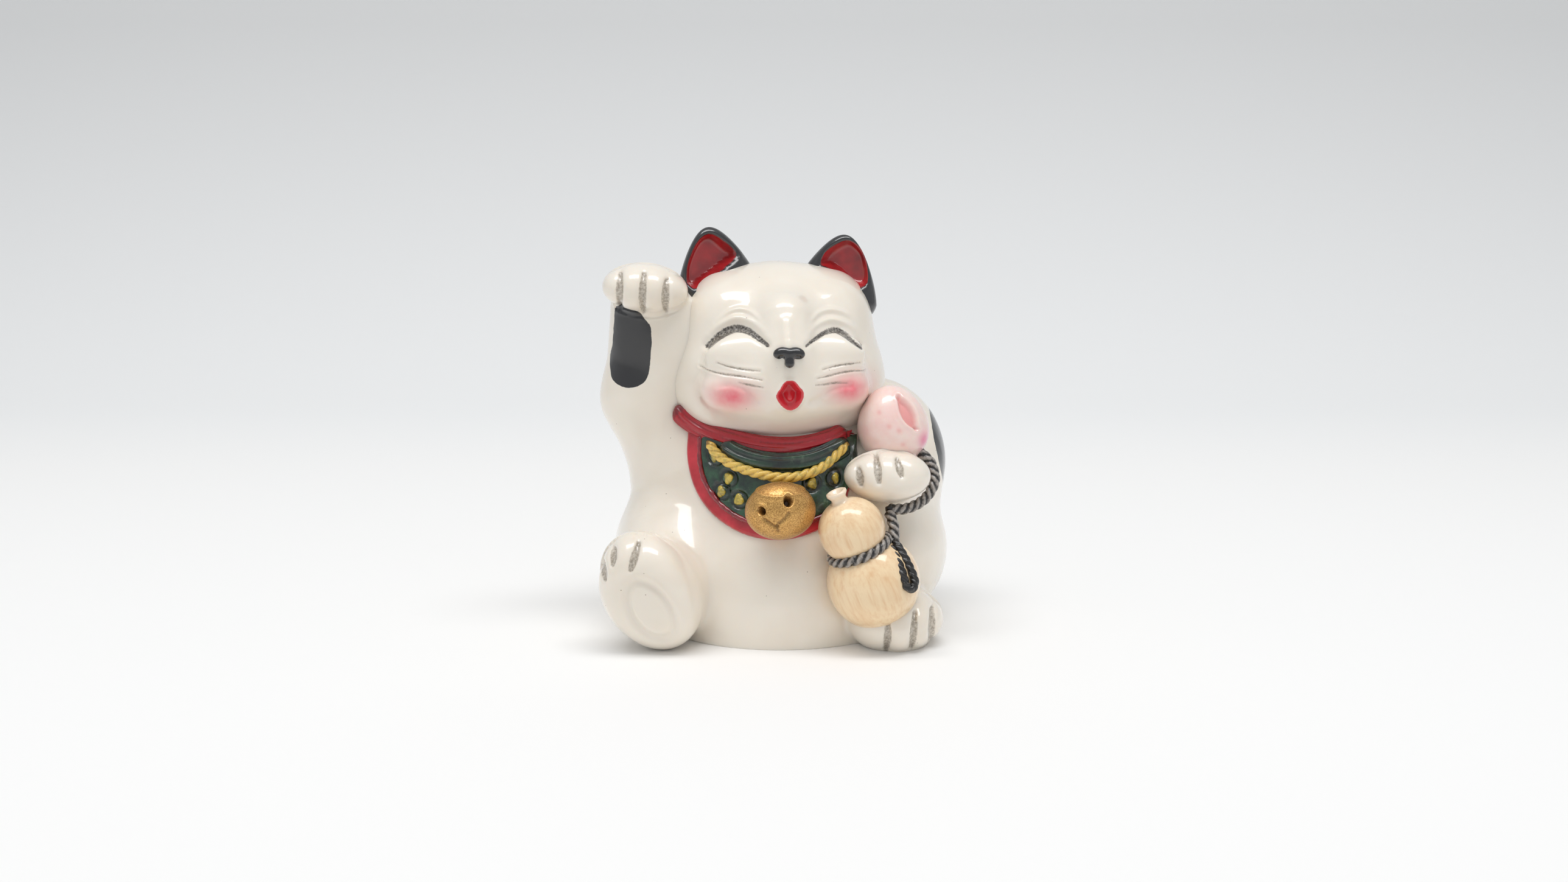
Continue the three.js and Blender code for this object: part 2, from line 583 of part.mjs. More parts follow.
// Tail: short, curled against the back
function tail() {
  const points = [[0, 11.5, 4], [4, 14, 3.6], [9, 14.6, 4.4], [13, 12.8, 7.6], [14.4, 11.4, 12]];
  const section = (share) => [1, 1].map((half) => half * (2.8 - 0.8 * share ** 2 - (share > 0.95 ? 0.9 : 0)));
  return solidOf(sweep(points, section, { steps: 8, sides: 7, outward: [0, 1, 0] }), "black");
}

// Air caught between forms that touch is filled: only outer skins are kept
const filled = (solid) => joined(solid.decompose().filter((skin) => skin.volume() > 0));

// The forms flow together in one casting, cut flat underneath
function figurine() {
  const table = new THREE.BoxGeometry(120, 120, TABLE_SLAB).translate(0, 0, -TABLE_SLAB / 2);
  const casting = joined([
    body(),
    head(),
    ...both(ear),
    raisedPaw(),
    holdingPaw(),
    soleFoot(),
    flatFoot(),
    ...collar(),
    ...bib(),
    ...cordAndBell(),
    gourd(),
    ...rope(),
    peach(),
    tail(),
  ]);
  return filled(casting.subtract(solidOf(table, "glaze"))).translate([-MIDDLE[0], -MIDDLE[1], 0]);
}

// Brings a painted solid back as a three.js mesh, with one group of faces for each paint
function paintedMesh(solid, name) {
  const mesh = solid.getMesh();
  const geometry = new THREE.BufferGeometry();
  geometry.setAttribute("position", new THREE.BufferAttribute(mesh.vertProperties.slice(), 3));
  geometry.setIndex(new THREE.BufferAttribute(mesh.triVerts.slice(), 1));
  mesh.runOriginalID.forEach((id, n) => {
    geometry.addGroup(mesh.runIndex[n], mesh.runIndex[n + 1] - mesh.runIndex[n], paintOf.get(id));
  });
  geometry.computeVertexNormals();
  const paints = paintNames.map((paint) => new THREE.MeshStandardMaterial(PAINTS[paint]));
  const made = new THREE.Mesh(geometry, paints);
  made.name = name;
  return made;
}

const group = new THREE.Group();
group.add(paintedMesh(figurine(), "lucky_cat"));
export default group;
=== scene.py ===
"""Lucky cat figurine: a seated cat cast in resin in one piece, painted by hand and glossed.

Everything is drawn in millimetres in the cat's own frame, +Z up, with the cat facing -Y and +X at the
viewer's right. finished() brings each piece to metres and to the frame of the CAD model.
"""

import math

import bpy
import numpy as np
from bpy.props import FloatProperty, FloatVectorProperty, PointerProperty
from mathutils import Euler, Matrix, Vector


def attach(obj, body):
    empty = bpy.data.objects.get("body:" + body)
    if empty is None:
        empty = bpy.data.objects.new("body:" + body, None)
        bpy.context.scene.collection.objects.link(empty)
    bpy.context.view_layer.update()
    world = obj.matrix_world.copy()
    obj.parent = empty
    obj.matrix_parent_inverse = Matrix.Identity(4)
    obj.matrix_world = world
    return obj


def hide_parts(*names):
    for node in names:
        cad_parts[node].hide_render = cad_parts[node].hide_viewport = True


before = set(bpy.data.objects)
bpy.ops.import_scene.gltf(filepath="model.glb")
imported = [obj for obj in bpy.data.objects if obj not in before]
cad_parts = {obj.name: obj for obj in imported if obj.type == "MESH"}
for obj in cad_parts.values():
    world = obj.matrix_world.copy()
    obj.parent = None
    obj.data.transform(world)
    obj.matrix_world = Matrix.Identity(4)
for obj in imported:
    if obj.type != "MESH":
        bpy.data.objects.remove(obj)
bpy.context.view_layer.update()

bl_info = {
    "name": "Lucky Cat Figurine",
    "version": (1, 0, 0),
    "blender": (4, 5, 0),
    "location": "View3D > Sidebar > Lucky Cat",
    "description": "Models and paints a cast lucky cat figurine",
    "category": "Add Mesh",
}

MM = 0.001
MIDDLE = Vector((0.24, -4.06, 0))  # middle of the footprint's box, which is the CAD model's origin
HEAD_AT = (0.6, -1.2, 37.2)
HEAD_TURN = (0, 0, 6)


# Sizes and colours


def linear(code):
    """A hex colour as the linear red, green, blue and alpha that shaders use."""
    channels = [int(code[n : n + 2], 16) / 255 for n in (1, 3, 5)]
    return (*[c / 12.92 if c <= 0.04045 else ((c + 0.055) / 1.055) ** 2.4 for c in channels], 1.0)


def size(name, words, default):
    return FloatProperty(name=name, description=words + ", in millimetres", default=default, min=0.01)


def colour(name, words, code):
    return FloatVectorProperty(
        name=name, description=words, subtype="COLOR", size=4, min=0, max=1, default=linear(code)
    )


class CatSizes(bpy.types.PropertyGroup):
    """Sizes of the modelling, in millimetres"""

    body_cell: size("Body cell", "Spacing of the vertices on the body", 0.39)
    head_cell: size("Head cell", "Spacing of the vertices on the head", 0.3)
    toe_width: size("Toe line", "Half width of the lines between the toes", 0.48)
    toe_depth: size("Toe depth", "Depth of the lines between the toes", 0.45)
    bib_lift: size("Hem lift", "How far the bib's hem stands off the chest", 0.55)
    cloth_lift: size("Cloth lift", "How far the green cloth stands off the chest", 0.95)
    cord: size("Gold cord", "Radius of the cord that carries the bell", 0.74)
    rope: size("Rope", "Radius of the rope on the gourd", 0.8)
    rim: size("Rim", "Width over which the bib's edges round down", 0.5)


class CatColours(bpy.types.PropertyGroup):
    """Colours of the paints"""

    white: colour("White", "Warm white of the casting", "#f4ebdd")
    # Shade is painted shade: cream laid over the white in the hollows, and also mottled at random through the white
    shade: colour("Shade", "Cream that gathers in the hollows", "#e2d3bd")
    blush: colour("Blush", "Sprayed pink on the cheeks", "#f0707c")
    wash: colour("Wash", "Grey-brown wash in the toe lines and whiskers", "#8f8270")
    lash: colour("Lash", "Dark brown brushed in the closed eyes", "#3a322b")
    black: colour("Black", "Patches, ears and nose", "#1b1a1c")
    red: colour("Red", "Inside of the ears", "#b5141a")
    lip: colour("Lip", "Inside of the mouth", "#d42430")
    collar: colour("Collar", "Collar and hem of the bib", "#ae1220")
    green: colour("Green", "Cloth of the bib", "#2f5a3c")
    deep_green: colour("Deep green", "Folds and hollows of the cloth", "#122420")
    yellow: colour("Yellow", "Dots on the bib", "#d8bd4a")
    gold: colour("Gold", "Twisted cord", "#f0c860")
    bell: colour("Bell", "Metallic gold of the bell", "#e6b76c")
    straw: colour("Straw", "Gourd", "#f8dcb2")
    grain: colour("Grain", "Brown grain of the gourd", "#d99a5c")
    peach: colour("Peach", "Peach", "#fbe3d9")
    pink: colour("Pink", "Cleft and spots of the peach", "#ee9a96")
    # Rope and rope dark are painted light on a dark rope: grey on the high strands as a painted highlight, near
    # black in the grooves as painted shade
    rope: colour("Rope", "High strands of the rope", "#aaa29a")
    rope_dark: colour("Rope dark", "Black wash in the rope", "#15110f")


# Fields: about the distance from points to a surface, negative inside


def turn_matrix(degrees):
    """Turns about X, Y and Z, the last one made first, as the CAD source makes them."""
    return np.array(Euler([math.radians(d) for d in degrees], "ZYX").to_matrix())


class Ball:
    """A turned ellipsoid. A flat one has a blunt face, like the sole of a foot."""

    def __init__(self, at, radii, blend=0.0, turn=(0, 0, 0), flat=False):
        self.at, self.radii, self.blend = np.array(at, float), np.array(radii, float), blend
        self.turn, self.flat = turn_matrix(turn), flat

    def field(self, points):
        local = (points - self.at) @ self.turn / self.radii
        if not self.flat:
            near = np.linalg.norm(local, axis=1)
            return near * (near - 1) / np.maximum(np.linalg.norm(local / self.radii, axis=1), 1e-9)
        x, y, z = local.T
        ring = x**2 + z**2
        near = np.sqrt(y**2 + ring**2)
        steep = np.stack([2 * ring * x, y, 2 * ring * z], axis=1) / self.radii
        return (near - 1) * near / np.maximum(np.linalg.norm(steep, axis=1), 1e-6)

    def model(self):
        bpy.ops.mesh.primitive_uv_sphere_add(segments=40, ring_count=24, radius=1)
        piece = bpy.context.object
        turn = Matrix(self.turn.tolist()).to_4x4()
        piece.matrix_world = Matrix.Translation(self.at) @ turn @ Matrix.Diagonal((*self.radii, 1))
        return piece


class Limb:
    """A tapering limb with round ends."""

    def __init__(self, start, end, radii, blend=0.0):
        self.start, self.end = np.array(start, float), np.array(end, float)
        self.radii, self.blend = radii, blend

    def field(self, points):
        along = self.end - self.start
        share = np.clip((points - self.start) @ along / (along @ along), 0, 1)
        away = np.linalg.norm(points - self.start - share[:, None] * along, axis=1)
        return away - (self.radii[0] + (self.radii[1] - self.radii[0]) * share)

    def model(self):
        along = Vector(self.end - self.start)
        bpy.ops.mesh.primitive_cone_add(
            vertices=32,
            radius1=self.radii[0],
            radius2=self.radii[1],
            depth=along.length,
            location=Vector((self.start + self.end) / 2),
            rotation=along.to_track_quat("Z", "Y").to_euler(),
        )
        shaft = bpy.context.object
        ends = [Ball(at, [radius] * 3).model() for at, radius in zip((self.start, self.end), self.radii)]
        return joined([shaft, *ends])


def blended(masses):
    """Masses that flow into each other; a mass's blend is how wide its fillet is."""

    def field(points):
        distance = masses[0].field(points)
        for mass in masses[1:]:
            other = mass.field(points)
            near = np.maximum(mass.blend - np.abs(distance - other), 0) / mass.blend
            distance = np.minimum(distance, other) - near * near * mass.blend / 4
        return distance

    return field


def slope(field, points, step=0.04):
    here = field(points)
    return np.stack([(field(points + step * axis) - here) / step for axis in np.eye(3)], axis=1)


def settled(field, points, passes=3):
    """Points moved down the field's slope onto its surface."""
    for _ in range(passes):
        steep = slope(field, points)
        size2 = np.maximum((steep**2).sum(axis=1), 0.05)
        step = np.clip(field(points) / size2, -1.5, 1.5)
        points = points - steep * step[:, None]
    return points


def onto_front(field, x, z, lift=0.0):
    """The first points of a surface that a look along +Y meets, moved out by lift."""
    x, z = np.broadcast_arrays(np.asarray(x, float), np.asarray(z, float))
    points = np.stack([x.ravel(), np.full(x.size, -32.0), z.ravel()], axis=1)
    for _ in range(160):
        away = field(points)
        points[:, 1] += np.where((away > 0.004) & (points[:, 1] < 30), np.maximum(away * 0.7, 0.004), 0)
    steep = slope(field, points)
    return points + steep / np.linalg.norm(steep, axis=1)[:, None] * lift


def smoothed(value, low, high):
    share = np.clip((value - low) / (high - low), 0, 1)
    return share * share * (3 - 2 * share)


# Curves and marks, drawn as seen from the front in x and z


def curve_through(points, count=40):
    """Evenly spaced points on a smooth curve through the given ones."""
    knots = np.array(points, float)
    ends = np.vstack([2 * knots[0] - knots[1], knots, 2 * knots[-1] - knots[-2]])
    share = np.linspace(0, 1, 12, endpoint=False)[:, None]
    runs = []
    for n in range(1, len(ends) - 2):
        a, b, c, d = ends[n - 1 : n + 3]
        bend = 2 * b + (c - a) * share + (2 * a - 5 * b + 4 * c - d) * share**2
        runs.append((bend + (3 * b - a - 3 * c + d) * share**3) / 2)
    fine = np.vstack([*runs, knots[-1:]])
    length = np.concatenate([[0], np.cumsum(np.linalg.norm(np.diff(fine, axis=0), axis=1))])
    even = np.linspace(0, length[-1], count)
    return np.stack([np.interp(even, length, fine[:, k]) for k in range(fine.shape[1])], axis=1)


def from_line(points, line):
    """Distance to a curve and the share of its length at the nearest point."""
    path = curve_through(line)
    best, share = np.full(len(points), 1e9), np.zeros(len(points))
    for n, (a, b) in enumerate(zip(path[:-1], path[1:])):
        along = b - a
        near = np.clip((points - a) @ along / (along @ along), 0, 1)
        away = np.linalg.norm(points - a - near[:, None] * along, axis=1)
        closer = away < best
        best = np.where(closer, away, best)
        share = np.where(closer, (n + near) / (len(path) - 1), share)
    return best, share


def inside_outline(points, outline, count=72):
    """Signed distance to a closed outline, positive inside."""
    path = curve_through([*outline, outline[0]], count)
    away = from_line(points, [*outline, outline[0]])[0]
    crossings = np.zeros(len(points), int)
    x, z = points.T
    for (ax, az), (bx, bz) in zip(path[:-1], path[1:]):
        spans = (az > z) != (bz > z)
        with np.errstate(divide="ignore", invalid="ignore"):
            at = ax + (z - az) * (bx - ax) / (bz - az)
        crossings += spans & (x < at)
    return np.where(crossings % 2 == 1, away, -away)


# Mesh helpers


def deselect():
    if bpy.context.object and bpy.context.object.mode != "OBJECT":
        bpy.ops.object.mode_set(mode="OBJECT")
    bpy.ops.object.select_all(action="DESELECT")


def only(piece):
    deselect()
    piece.select_set(True)
    bpy.context.view_layer.objects.active = piece
    return piece


def joined(pieces):
    deselect()
    for piece in pieces:
        piece.select_set(True)
    bpy.context.view_layer.objects.active = pieces[0]
    bpy.ops.object.join()
    bpy.ops.object.transform_apply(location=True, rotation=True, scale=True)
    return bpy.context.object


def places(piece):
    flat = np.empty(len(piece.data.vertices) * 3)
    piece.data.vertices.foreach_get("co", flat)
    return flat.reshape(-1, 3)


def place(piece, points):
    piece.data.vertices.foreach_set("co", points.ravel())
    piece.data.update()


def remeshed(piece, cell):
    only(piece)
    skin = piece.modifiers.new("Skin", "REMESH")
    skin.mode = "VOXEL"
    skin.voxel_size = cell
    bpy.ops.object.modifier_apply(modifier=skin.name)
    return piece


def eased(piece, field, rounds=6):
    """Evens out a skin: vertices move towards their neighbours and back onto the field."""
    points = places(piece)
    edges = np.empty(len(piece.data.edges) * 2, int)
    piece.data.edges.foreach_get("vertices", edges)
    first, second = edges.reshape(-1, 2).T
    count = np.bincount(edges, minlength=len(points))[:, None]
    for _ in range(rounds):
        total = np.zeros_like(points)
        for k in range(3):
            total[:, k] = np.bincount(first, points[second, k], len(points))
            total[:, k] += np.bincount(second, points[first, k], len(points))
        points = settled(field, points + 0.6 * (total / count - points), 1)
    place(piece, settled(field, points, 3))


def refined(piece, chosen):
    """Subdivides the faces whose middles are chosen."""
    only(piece)
    middles = np.empty(len(piece.data.polygons) * 3)
    piece.data.polygons.foreach_get("center", middles)
    bpy.ops.object.mode_set(mode="EDIT")
    bpy.ops.mesh.select_mode(type="FACE")
    bpy.ops.mesh.select_all(action="DESELECT")
    bpy.ops.object.mode_set(mode="OBJECT")
    piece.data.polygons.foreach_set("select", chosen(middles.reshape(-1, 3)))
    bpy.ops.object.mode_set(mode="EDIT")
    bpy.ops.mesh.subdivide(number_cuts=1)
    bpy.ops.object.mode_set(mode="OBJECT")


def moulded(masses, cell, fine=None):
    """Masses modelled as primitives, remeshed as one skin and eased onto their blended field."""
    skin = remeshed(joined([mass.model() for mass in masses]), cell * (1))
    field = blended(masses)
    if fine:
        refined(skin, fine)
    eased(skin, field)
    return skin, field


def cut_flat(piece):
    """Cuts a piece flat at the surface that the figurine stands on."""
    only(piece)
    bpy.ops.object.mode_set(mode="EDIT")
    bpy.ops.mesh.select_all(action="SELECT")
    bpy.ops.mesh.bisect(plane_co=(0, 0, 0), plane_no=(0, 0, 1), use_fill=True, clear_inner=True)
    bpy.ops.object.mode_set(mode="OBJECT")


def mark(piece, name, values):
    """Keeps a value for each vertex, for a material to read."""
    layer = piece.data.attributes.new(name, "FLOAT", "POINT")
    layer.data.foreach_set("value", np.asarray(values, np.float32))


def mesh_piece(name, vertices, faces):
    mesh = bpy.data.meshes.new(name)
    mesh.from_pydata(np.asarray(vertices).tolist(), [], [list(map(int, face)) for face in faces])
    piece = bpy.data.objects.new(name, mesh)
    bpy.context.scene.collection.objects.link(piece)
    return piece


def ring_faces(rings, sides, closed=False):
    """Quads of a tube made of rings of vertices, facing outwards."""
    n, m = np.meshgrid(np.arange(rings if closed else rings - 1), np.arange(sides), indexing="ij")
    n, m = n.ravel(), m.ravel()
    up, next_side = (n + 1) % rings, (m + 1) % sides
    return np.stack([up * sides + m, up * sides + next_side, n * sides + next_side, n * sides + m], axis=1)


def swept(name, points, section, spacing=0.2, sides=24, outward=(0, -1, 0)):
    """A closed roll along a curve. section(round, along, share) gives the two radii at each angle."""
    rough = curve_through(points, 200)
    length = np.linalg.norm(np.diff(rough, axis=0), axis=1).sum()
    rings = max(int(length / (spacing * 1)), 8)
    path = curve_through(points, rings)
    along = np.gradient(path, axis=0)
    along /= np.linalg.norm(along, axis=1)[:, None]
    outward = np.broadcast_to(np.asarray(outward, float), along.shape)
    across = np.cross(outward, along)
    across /= np.linalg.norm(across, axis=1)[:, None]
    out = np.cross(along, across)
    share = np.repeat(np.linspace(0, 1, rings), sides)
    angle = np.tile(np.arange(sides) * 2 * math.pi / sides, rings)
    deep, high = section(angle, share * length, share)
    offset = out.repeat(sides, 0) * (deep * np.cos(angle))[:, None]
    offset += across.repeat(sides, 0) * (high * np.sin(angle))[:, None]
    vertices = path.repeat(sides, 0) + offset
    last = (rings - 1) * sides
    caps = [np.arange(sides), last + np.arange(sides)[::-1]]
    piece = mesh_piece(name, vertices, [*ring_faces(rings, sides), *caps])
    mark(piece, "along", share * length)
    mark(piece, "around", angle / (2 * math.pi))
    mark(piece, "height", np.minimum(deep, high))
    return piece


def strands(radius, count, pitch, plump=0.62):
    """Section of a twisted cord: the outline of round strands that wind about its middle."""

    def section(angle, along, share):
        turn = angle - 2 * math.pi * along / pitch
        nearest = (turn + math.pi / count) % (2 * math.pi / count) - math.pi / count
        middle = 1 - plump
        reach = middle * np.cos(nearest)
        reach += np.sqrt(np.maximum(plump**2 - (middle * np.sin(nearest)) ** 2, 0))
        taper = np.minimum(1, 0.45 + np.minimum(share, 1 - share) * 14)
        return (radius * reach * taper,) * 2

    return section


def lathed(name, profile, steps=96):
    """A profile of radius and height spun about Z in edit mode."""
    points = curve_through(profile, 90)
    points[0, 0] = points[-1, 0] = 0
    mesh = bpy.data.meshes.new(name)
    mesh.from_pydata([(r, 0, z) for r, z in points], [(n, n + 1) for n in range(len(points) - 1)], [])
    piece = bpy.data.objects.new(name, mesh)
    bpy.context.scene.collection.objects.link(piece)
    only(piece)
    bpy.ops.object.mode_set(mode="EDIT")
    bpy.ops.mesh.select_all(action="SELECT")
    bpy.ops.mesh.spin(steps=steps, angle=2 * math.pi, center=(0, 0, 0), axis=(0, 0, 1))
    bpy.ops.mesh.select_all(action="SELECT")
    bpy.ops.mesh.remove_doubles(threshold=0.002)
    bpy.ops.mesh.normals_make_consistent(inside=False)
    bpy.ops.object.mode_set(mode="OBJECT")
    return piece


def moved(points, at, turn=(0, 0, 0)):
    """Points of a thing modelled at the origin, turned and then moved to its place."""
    return points @ turn_matrix(turn).T + np.asarray(at, float)


def finished(piece, name, material):
    """Brings a piece to metres and the CAD model's frame, and gives it its name, body and paint."""
    only(piece)
    piece.name = piece.data.name = name
    piece.matrix_world = Matrix.Scale(MM, 4) @ Matrix.Translation(-MIDDLE) @ piece.matrix_world
    bpy.ops.object.transform_apply(location=True, rotation=True, scale=True)
    bpy.ops.object.shade_smooth()
    piece.data.materials.clear()
    piece.data.materials.append(material)
    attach(piece, "root")
    return piece


# Materials


def add(tree, kind, inputs=None, **settings):
    """Adds a node with its settings, and sets or links its inputs."""
    node = tree.nodes.new(kind)
    for key, value in settings.items():
        setattr(node, key, value)
    for key, value in (inputs or {}).items():
        if isinstance(value, bpy.types.NodeSocket):
            tree.links.new(value, node.inputs[key])
        else:
            node.inputs[key].default_value = value
    return node


def paint_coat(name, coat=0.6, roughness=0.3, metallic=0.0, ior=1.5):
    """A glossed paint: its tree, its shader and its coordinates in millimetres."""
    material = bpy.data.materials.new(name)
    material.use_nodes = True
    tree = material.node_tree
    tree.nodes.clear()
    shader = add(tree, "ShaderNodeBsdfPrincipled")
    shader.inputs["Roughness"].default_value = roughness
    shader.inputs["Metallic"].default_value = metallic
    shader.inputs["IOR"].default_value = ior
    shader.inputs["Coat Weight"].default_value = coat
    shader.inputs["Coat Roughness"].default_value = 0.06
    output = add(tree, "ShaderNodeOutputMaterial", {"Surface": shader.outputs[0]})
    output.is_active_output = True
    object_place = add(tree, "ShaderNodeTexCoord").outputs["Object"]
    place_mm = add(tree, "ShaderNodeVectorMath", {0: object_place, 1: (1000, 1000, 1000)}, operation="MULTIPLY")
    return material, tree, shader, place_mm.outputs[0]


def noise(tree, place_mm, grain, detail=3.0, stretch=(1, 1, 1)):
    """Noise whose blotches are about grain millimetres across."""
    scaled = add(
        tree,
        "ShaderNodeVectorMath",
        {0: place_mm, 1: tuple(s / grain for s in stretch)},
        operation="MULTIPLY",
    )
    inputs = {"Vector": scaled.outputs[0], "Scale": 1.0, "Detail": detail, "Roughness": 0.6}
    return add(tree, "ShaderNodeTexNoise", inputs).outputs["Fac"]


def ramp(tree, value, low, high, start=0.0, end=1.0):
    inputs = {"Value": value, "From Min": low, "From Max": high, "To Min": start, "To Max": end}
    return add(tree, "ShaderNodeMapRange", inputs, clamp=True).outputs[0]


def math_node(tree, operation, first, second=0.0):
    return add(tree, "ShaderNodeMath", {0: first, 1: second}, operation=operation).outputs[0]


def mixed(tree, share, first, second):
    """The first colour, with the second over it where share is high."""
    return add(tree, "ShaderNodeMix", {0: share, 6: first, 7: second}, data_type="RGBA").outputs[2]


def attribute(tree, name):
    return add(tree, "ShaderNodeAttribute", attribute_name=name).outputs["Fac"]


def bump(tree, shader, height, depth, also=None):
    """Relief depth millimetres deep, on top of another relief if one is given."""
    inputs = {"Height": height, "Strength": 1.0, "Distance": depth * MM}
    if also:
        inputs["Normal"] = also
    node = add(tree, "ShaderNodeBump", inputs)
    tree.links.new(node.outputs[0], shader.inputs["Normal"])
    return node.outputs[0]


def brushed_edge(tree, place_mm, name, soft=0.1, wander=0.16, grain=0.7):
    """Where the attribute, a distance in mm, is above zero, with an edge that a brush left."""
    wobble = math_node(tree, "MULTIPLY", math_node(tree, "SUBTRACT", noise(tree, place_mm, grain), 0.5), wander * 2)
    return ramp(tree, math_node(tree, "ADD", attribute(tree, name), wobble), -soft / 2, soft / 2)


def white_resin(colours):
    """Cast polyester resin under white paint and a thick gloss: creamy, and slightly clear at its edges."""
    material, tree, shader, place_mm = paint_coat("white_resin", coat=0.8, roughness=0.28)
    shader.inputs["Subsurface Weight"].default_value = 0.25
    shader.inputs["Subsurface Radius"].default_value = (1.0, 0.72, 0.5)
    shader.inputs["Subsurface Scale"].default_value = 1.1 * MM
    cloud = noise(tree, place_mm, 9.0, 2.0)
    tone = mixed(tree, ramp(tree, cloud, 0.45, 0.8, 0.0, 0.35), colours.white, colours.shade)
    # Painted shade: the cream shade colour over the white where a piece marks its hollows
    tone = mixed(tree, attribute(tree, "hollow"), tone, colours.shade)
    blush_share = math_node(tree, "MULTIPLY", attribute(tree, "blush"), ramp(tree, noise(tree, place_mm, 1.2), 0.2, 0.7, 0.75, 1.0))
    tone = mixed(tree, blush_share, tone, colours.blush)
    dry = ramp(tree, noise(tree, place_mm, 0.35, 4.0), 0.3, 0.62, 0.25, 0.85)
    wash = math_node(tree, "MULTIPLY", brushed_edge(tree, place_mm, "wash", 0.16, 0.12, 0.5), dry)
    tone = mixed(tree, wash, tone, colours.wash)
    full = ramp(tree, noise(tree, place_mm, 0.35, 4.0), 0.3, 0.6, 0.55, 1.0)
    lash = math_node(tree, "MULTIPLY", brushed_edge(tree, place_mm, "lash", 0.12, 0.14, 0.3), full)
    tone = mixed(tree, lash, tone, colours.lash)
    tone = mixed(tree, brushed_edge(tree, place_mm, "patch", 0.06, 0.14, 1.6), tone, colours.black)
    tone = mixed(tree, brushed_edge(tree, place_mm, "mouth", 0.08, 0.08, 0.5), tone, colours.lip)
    dust = add(tree, "ShaderNodeTexVoronoi", {"Vector": place_mm, "Scale": 0.42}).outputs["Distance"]
    speck = ramp(tree, dust, 0.028, 0.04, 0.6, 0.0)
    tone = mixed(tree, speck, tone, linear("#6b4a35"))
    tree.links.new(tone, shader.inputs["Base Color"])
    swell = bump(tree, shader, noise(tree, place_mm, 3.5, 2.0), 0.1)
    bump(tree, shader, noise(tree, place_mm, 0.5, 2.0), 0.006, swell)
    return material


def glossy_paint(name, first, second, grain=2.0, low=0.35, high=0.7, depth=0.03, **finish):
    """Brushed enamel: two tones of one paint, with the low relief of the brush."""
    material, tree, shader, place_mm = paint_coat(name, **finish)
    tone = mixed(tree, ramp(tree, noise(tree, place_mm, grain), low, high), first, second)
    tree.links.new(tone, shader.inputs["Base Color"])
    bump(tree, shader, noise(tree, place_mm, grain / 2, 3.0), depth)
    return material


def ear_enamel(colours):
    """Thick translucent red enamel poured inside a black rim."""
    material, tree, shader, place_mm = paint_coat("ear_enamel", coat=1.0, roughness=0.3)
    depth = ramp(tree, noise(tree, place_mm, 3.2, 2.0), 0.3, 0.7)
    lining = mixed(tree, depth, linear("#7d0d12"), colours.red)
    share = brushed_edge(tree, place_mm, "lining", 0.1, 0.12, 1.0)
    tone = mixed(tree, share, colours.black, lining)
    tree.links.new(tone, shader.inputs["Base Color"])
    bump(tree, shader, noise(tree, place_mm, 0.9, 3.0), 0.04)
    return material


# Heights in mm over which painted shade in the grooves gives way to the colour on the high strands
GROOVE_SHADE_HEIGHTS = {"gold_cord_paint": (0.62, 0.82), "rope_paint": (0.84, 0.98), "collar_paint": (1.0, 1.22)}


def rope_paint(name, high, low, colours, depth=0.12, metallic=0.0, wash=None):
    """A moulded cord coloured by height: lighter on the high strands, with painted shade darker in the grooves."""
    material, tree, shader, place_mm = paint_coat(name, coat=0.5, roughness=0.38, metallic=metallic)
    raised = attribute(tree, "height")
    fibre = noise(tree, place_mm, 0.32, 3.0, (1, 1, 0.6))
    # Painted shade: the low colour lies in the grooves, set by height
    share = ramp(tree, math_node(tree, "ADD", raised, math_node(tree, "MULTIPLY", fibre, 0.35)), *GROOVE_SHADE_HEIGHTS[name])
    tone = mixed(tree, share, low, high)
    if wash:
        stain = ramp(tree, noise(tree, place_mm, 1.5), 0.52, 0.66, 0.0, 0.55)
        tone = mixed(tree, stain, tone, wash)
    tree.links.new(tone, shader.inputs["Base Color"])
    bump(tree, shader, fibre, depth)
    return material


def cloth_paint(colours):
    """Dark green brushed over a moulded cloth, with painted shade near black in its hollows and under the cord, and
    pale where it wore thin.
    """
    material, tree, shader, place_mm = paint_coat("cloth_paint", coat=0.7, roughness=0.3)
    cloud = ramp(tree, noise(tree, place_mm, 2.2, 3.0), 0.36, 0.66)
    tone = mixed(tree, cloud, colours.deep_green, colours.green)
    thin = ramp(tree, noise(tree, place_mm, 1.4, 4.0), 0.6, 0.74, 0.0, 0.5)
    tone = mixed(tree, thin, tone, linear("#7f9a7c"))
    # Painted shade: near black where the piece marks its hollows
    tone = mixed(tree, attribute(tree, "hollow"), tone, linear("#0a1412"))
    tree.links.new(tone, shader.inputs["Base Color"])
    swell = bump(tree, shader, noise(tree, place_mm, 0.8, 3.0), 0.09)
    bump(tree, shader, noise(tree, place_mm, 0.22, 3.0), 0.03, swell)
    return material


def bell_gold(colours):
    """Gold bronzing paint: fine metal flakes that glitter, with painted shade dark brown in the holes and slits."""
    material, tree, shader, place_mm = paint_coat("bell_gold", coat=0.35, roughness=0.4, metallic=0.75)
    flake = noise(tree, place_mm, 0.16, 2.0)
    tone = mixed(tree, ramp(tree, flake, 0.35, 0.65), linear("#a8793f"), colours.bell)
    # Painted shade: dark brown where the bell marks its holes and slits
    tone = mixed(tree, attribute(tree, "hollow"), tone, linear("#3a2413"))
    tree.links.new(tone, shader.inputs["Base Color"])
    grit = bump(tree, shader, flake, 0.035)
    bump(tree, shader, noise(tree, place_mm, 1.4, 3.0), 0.08, grit)
    return material


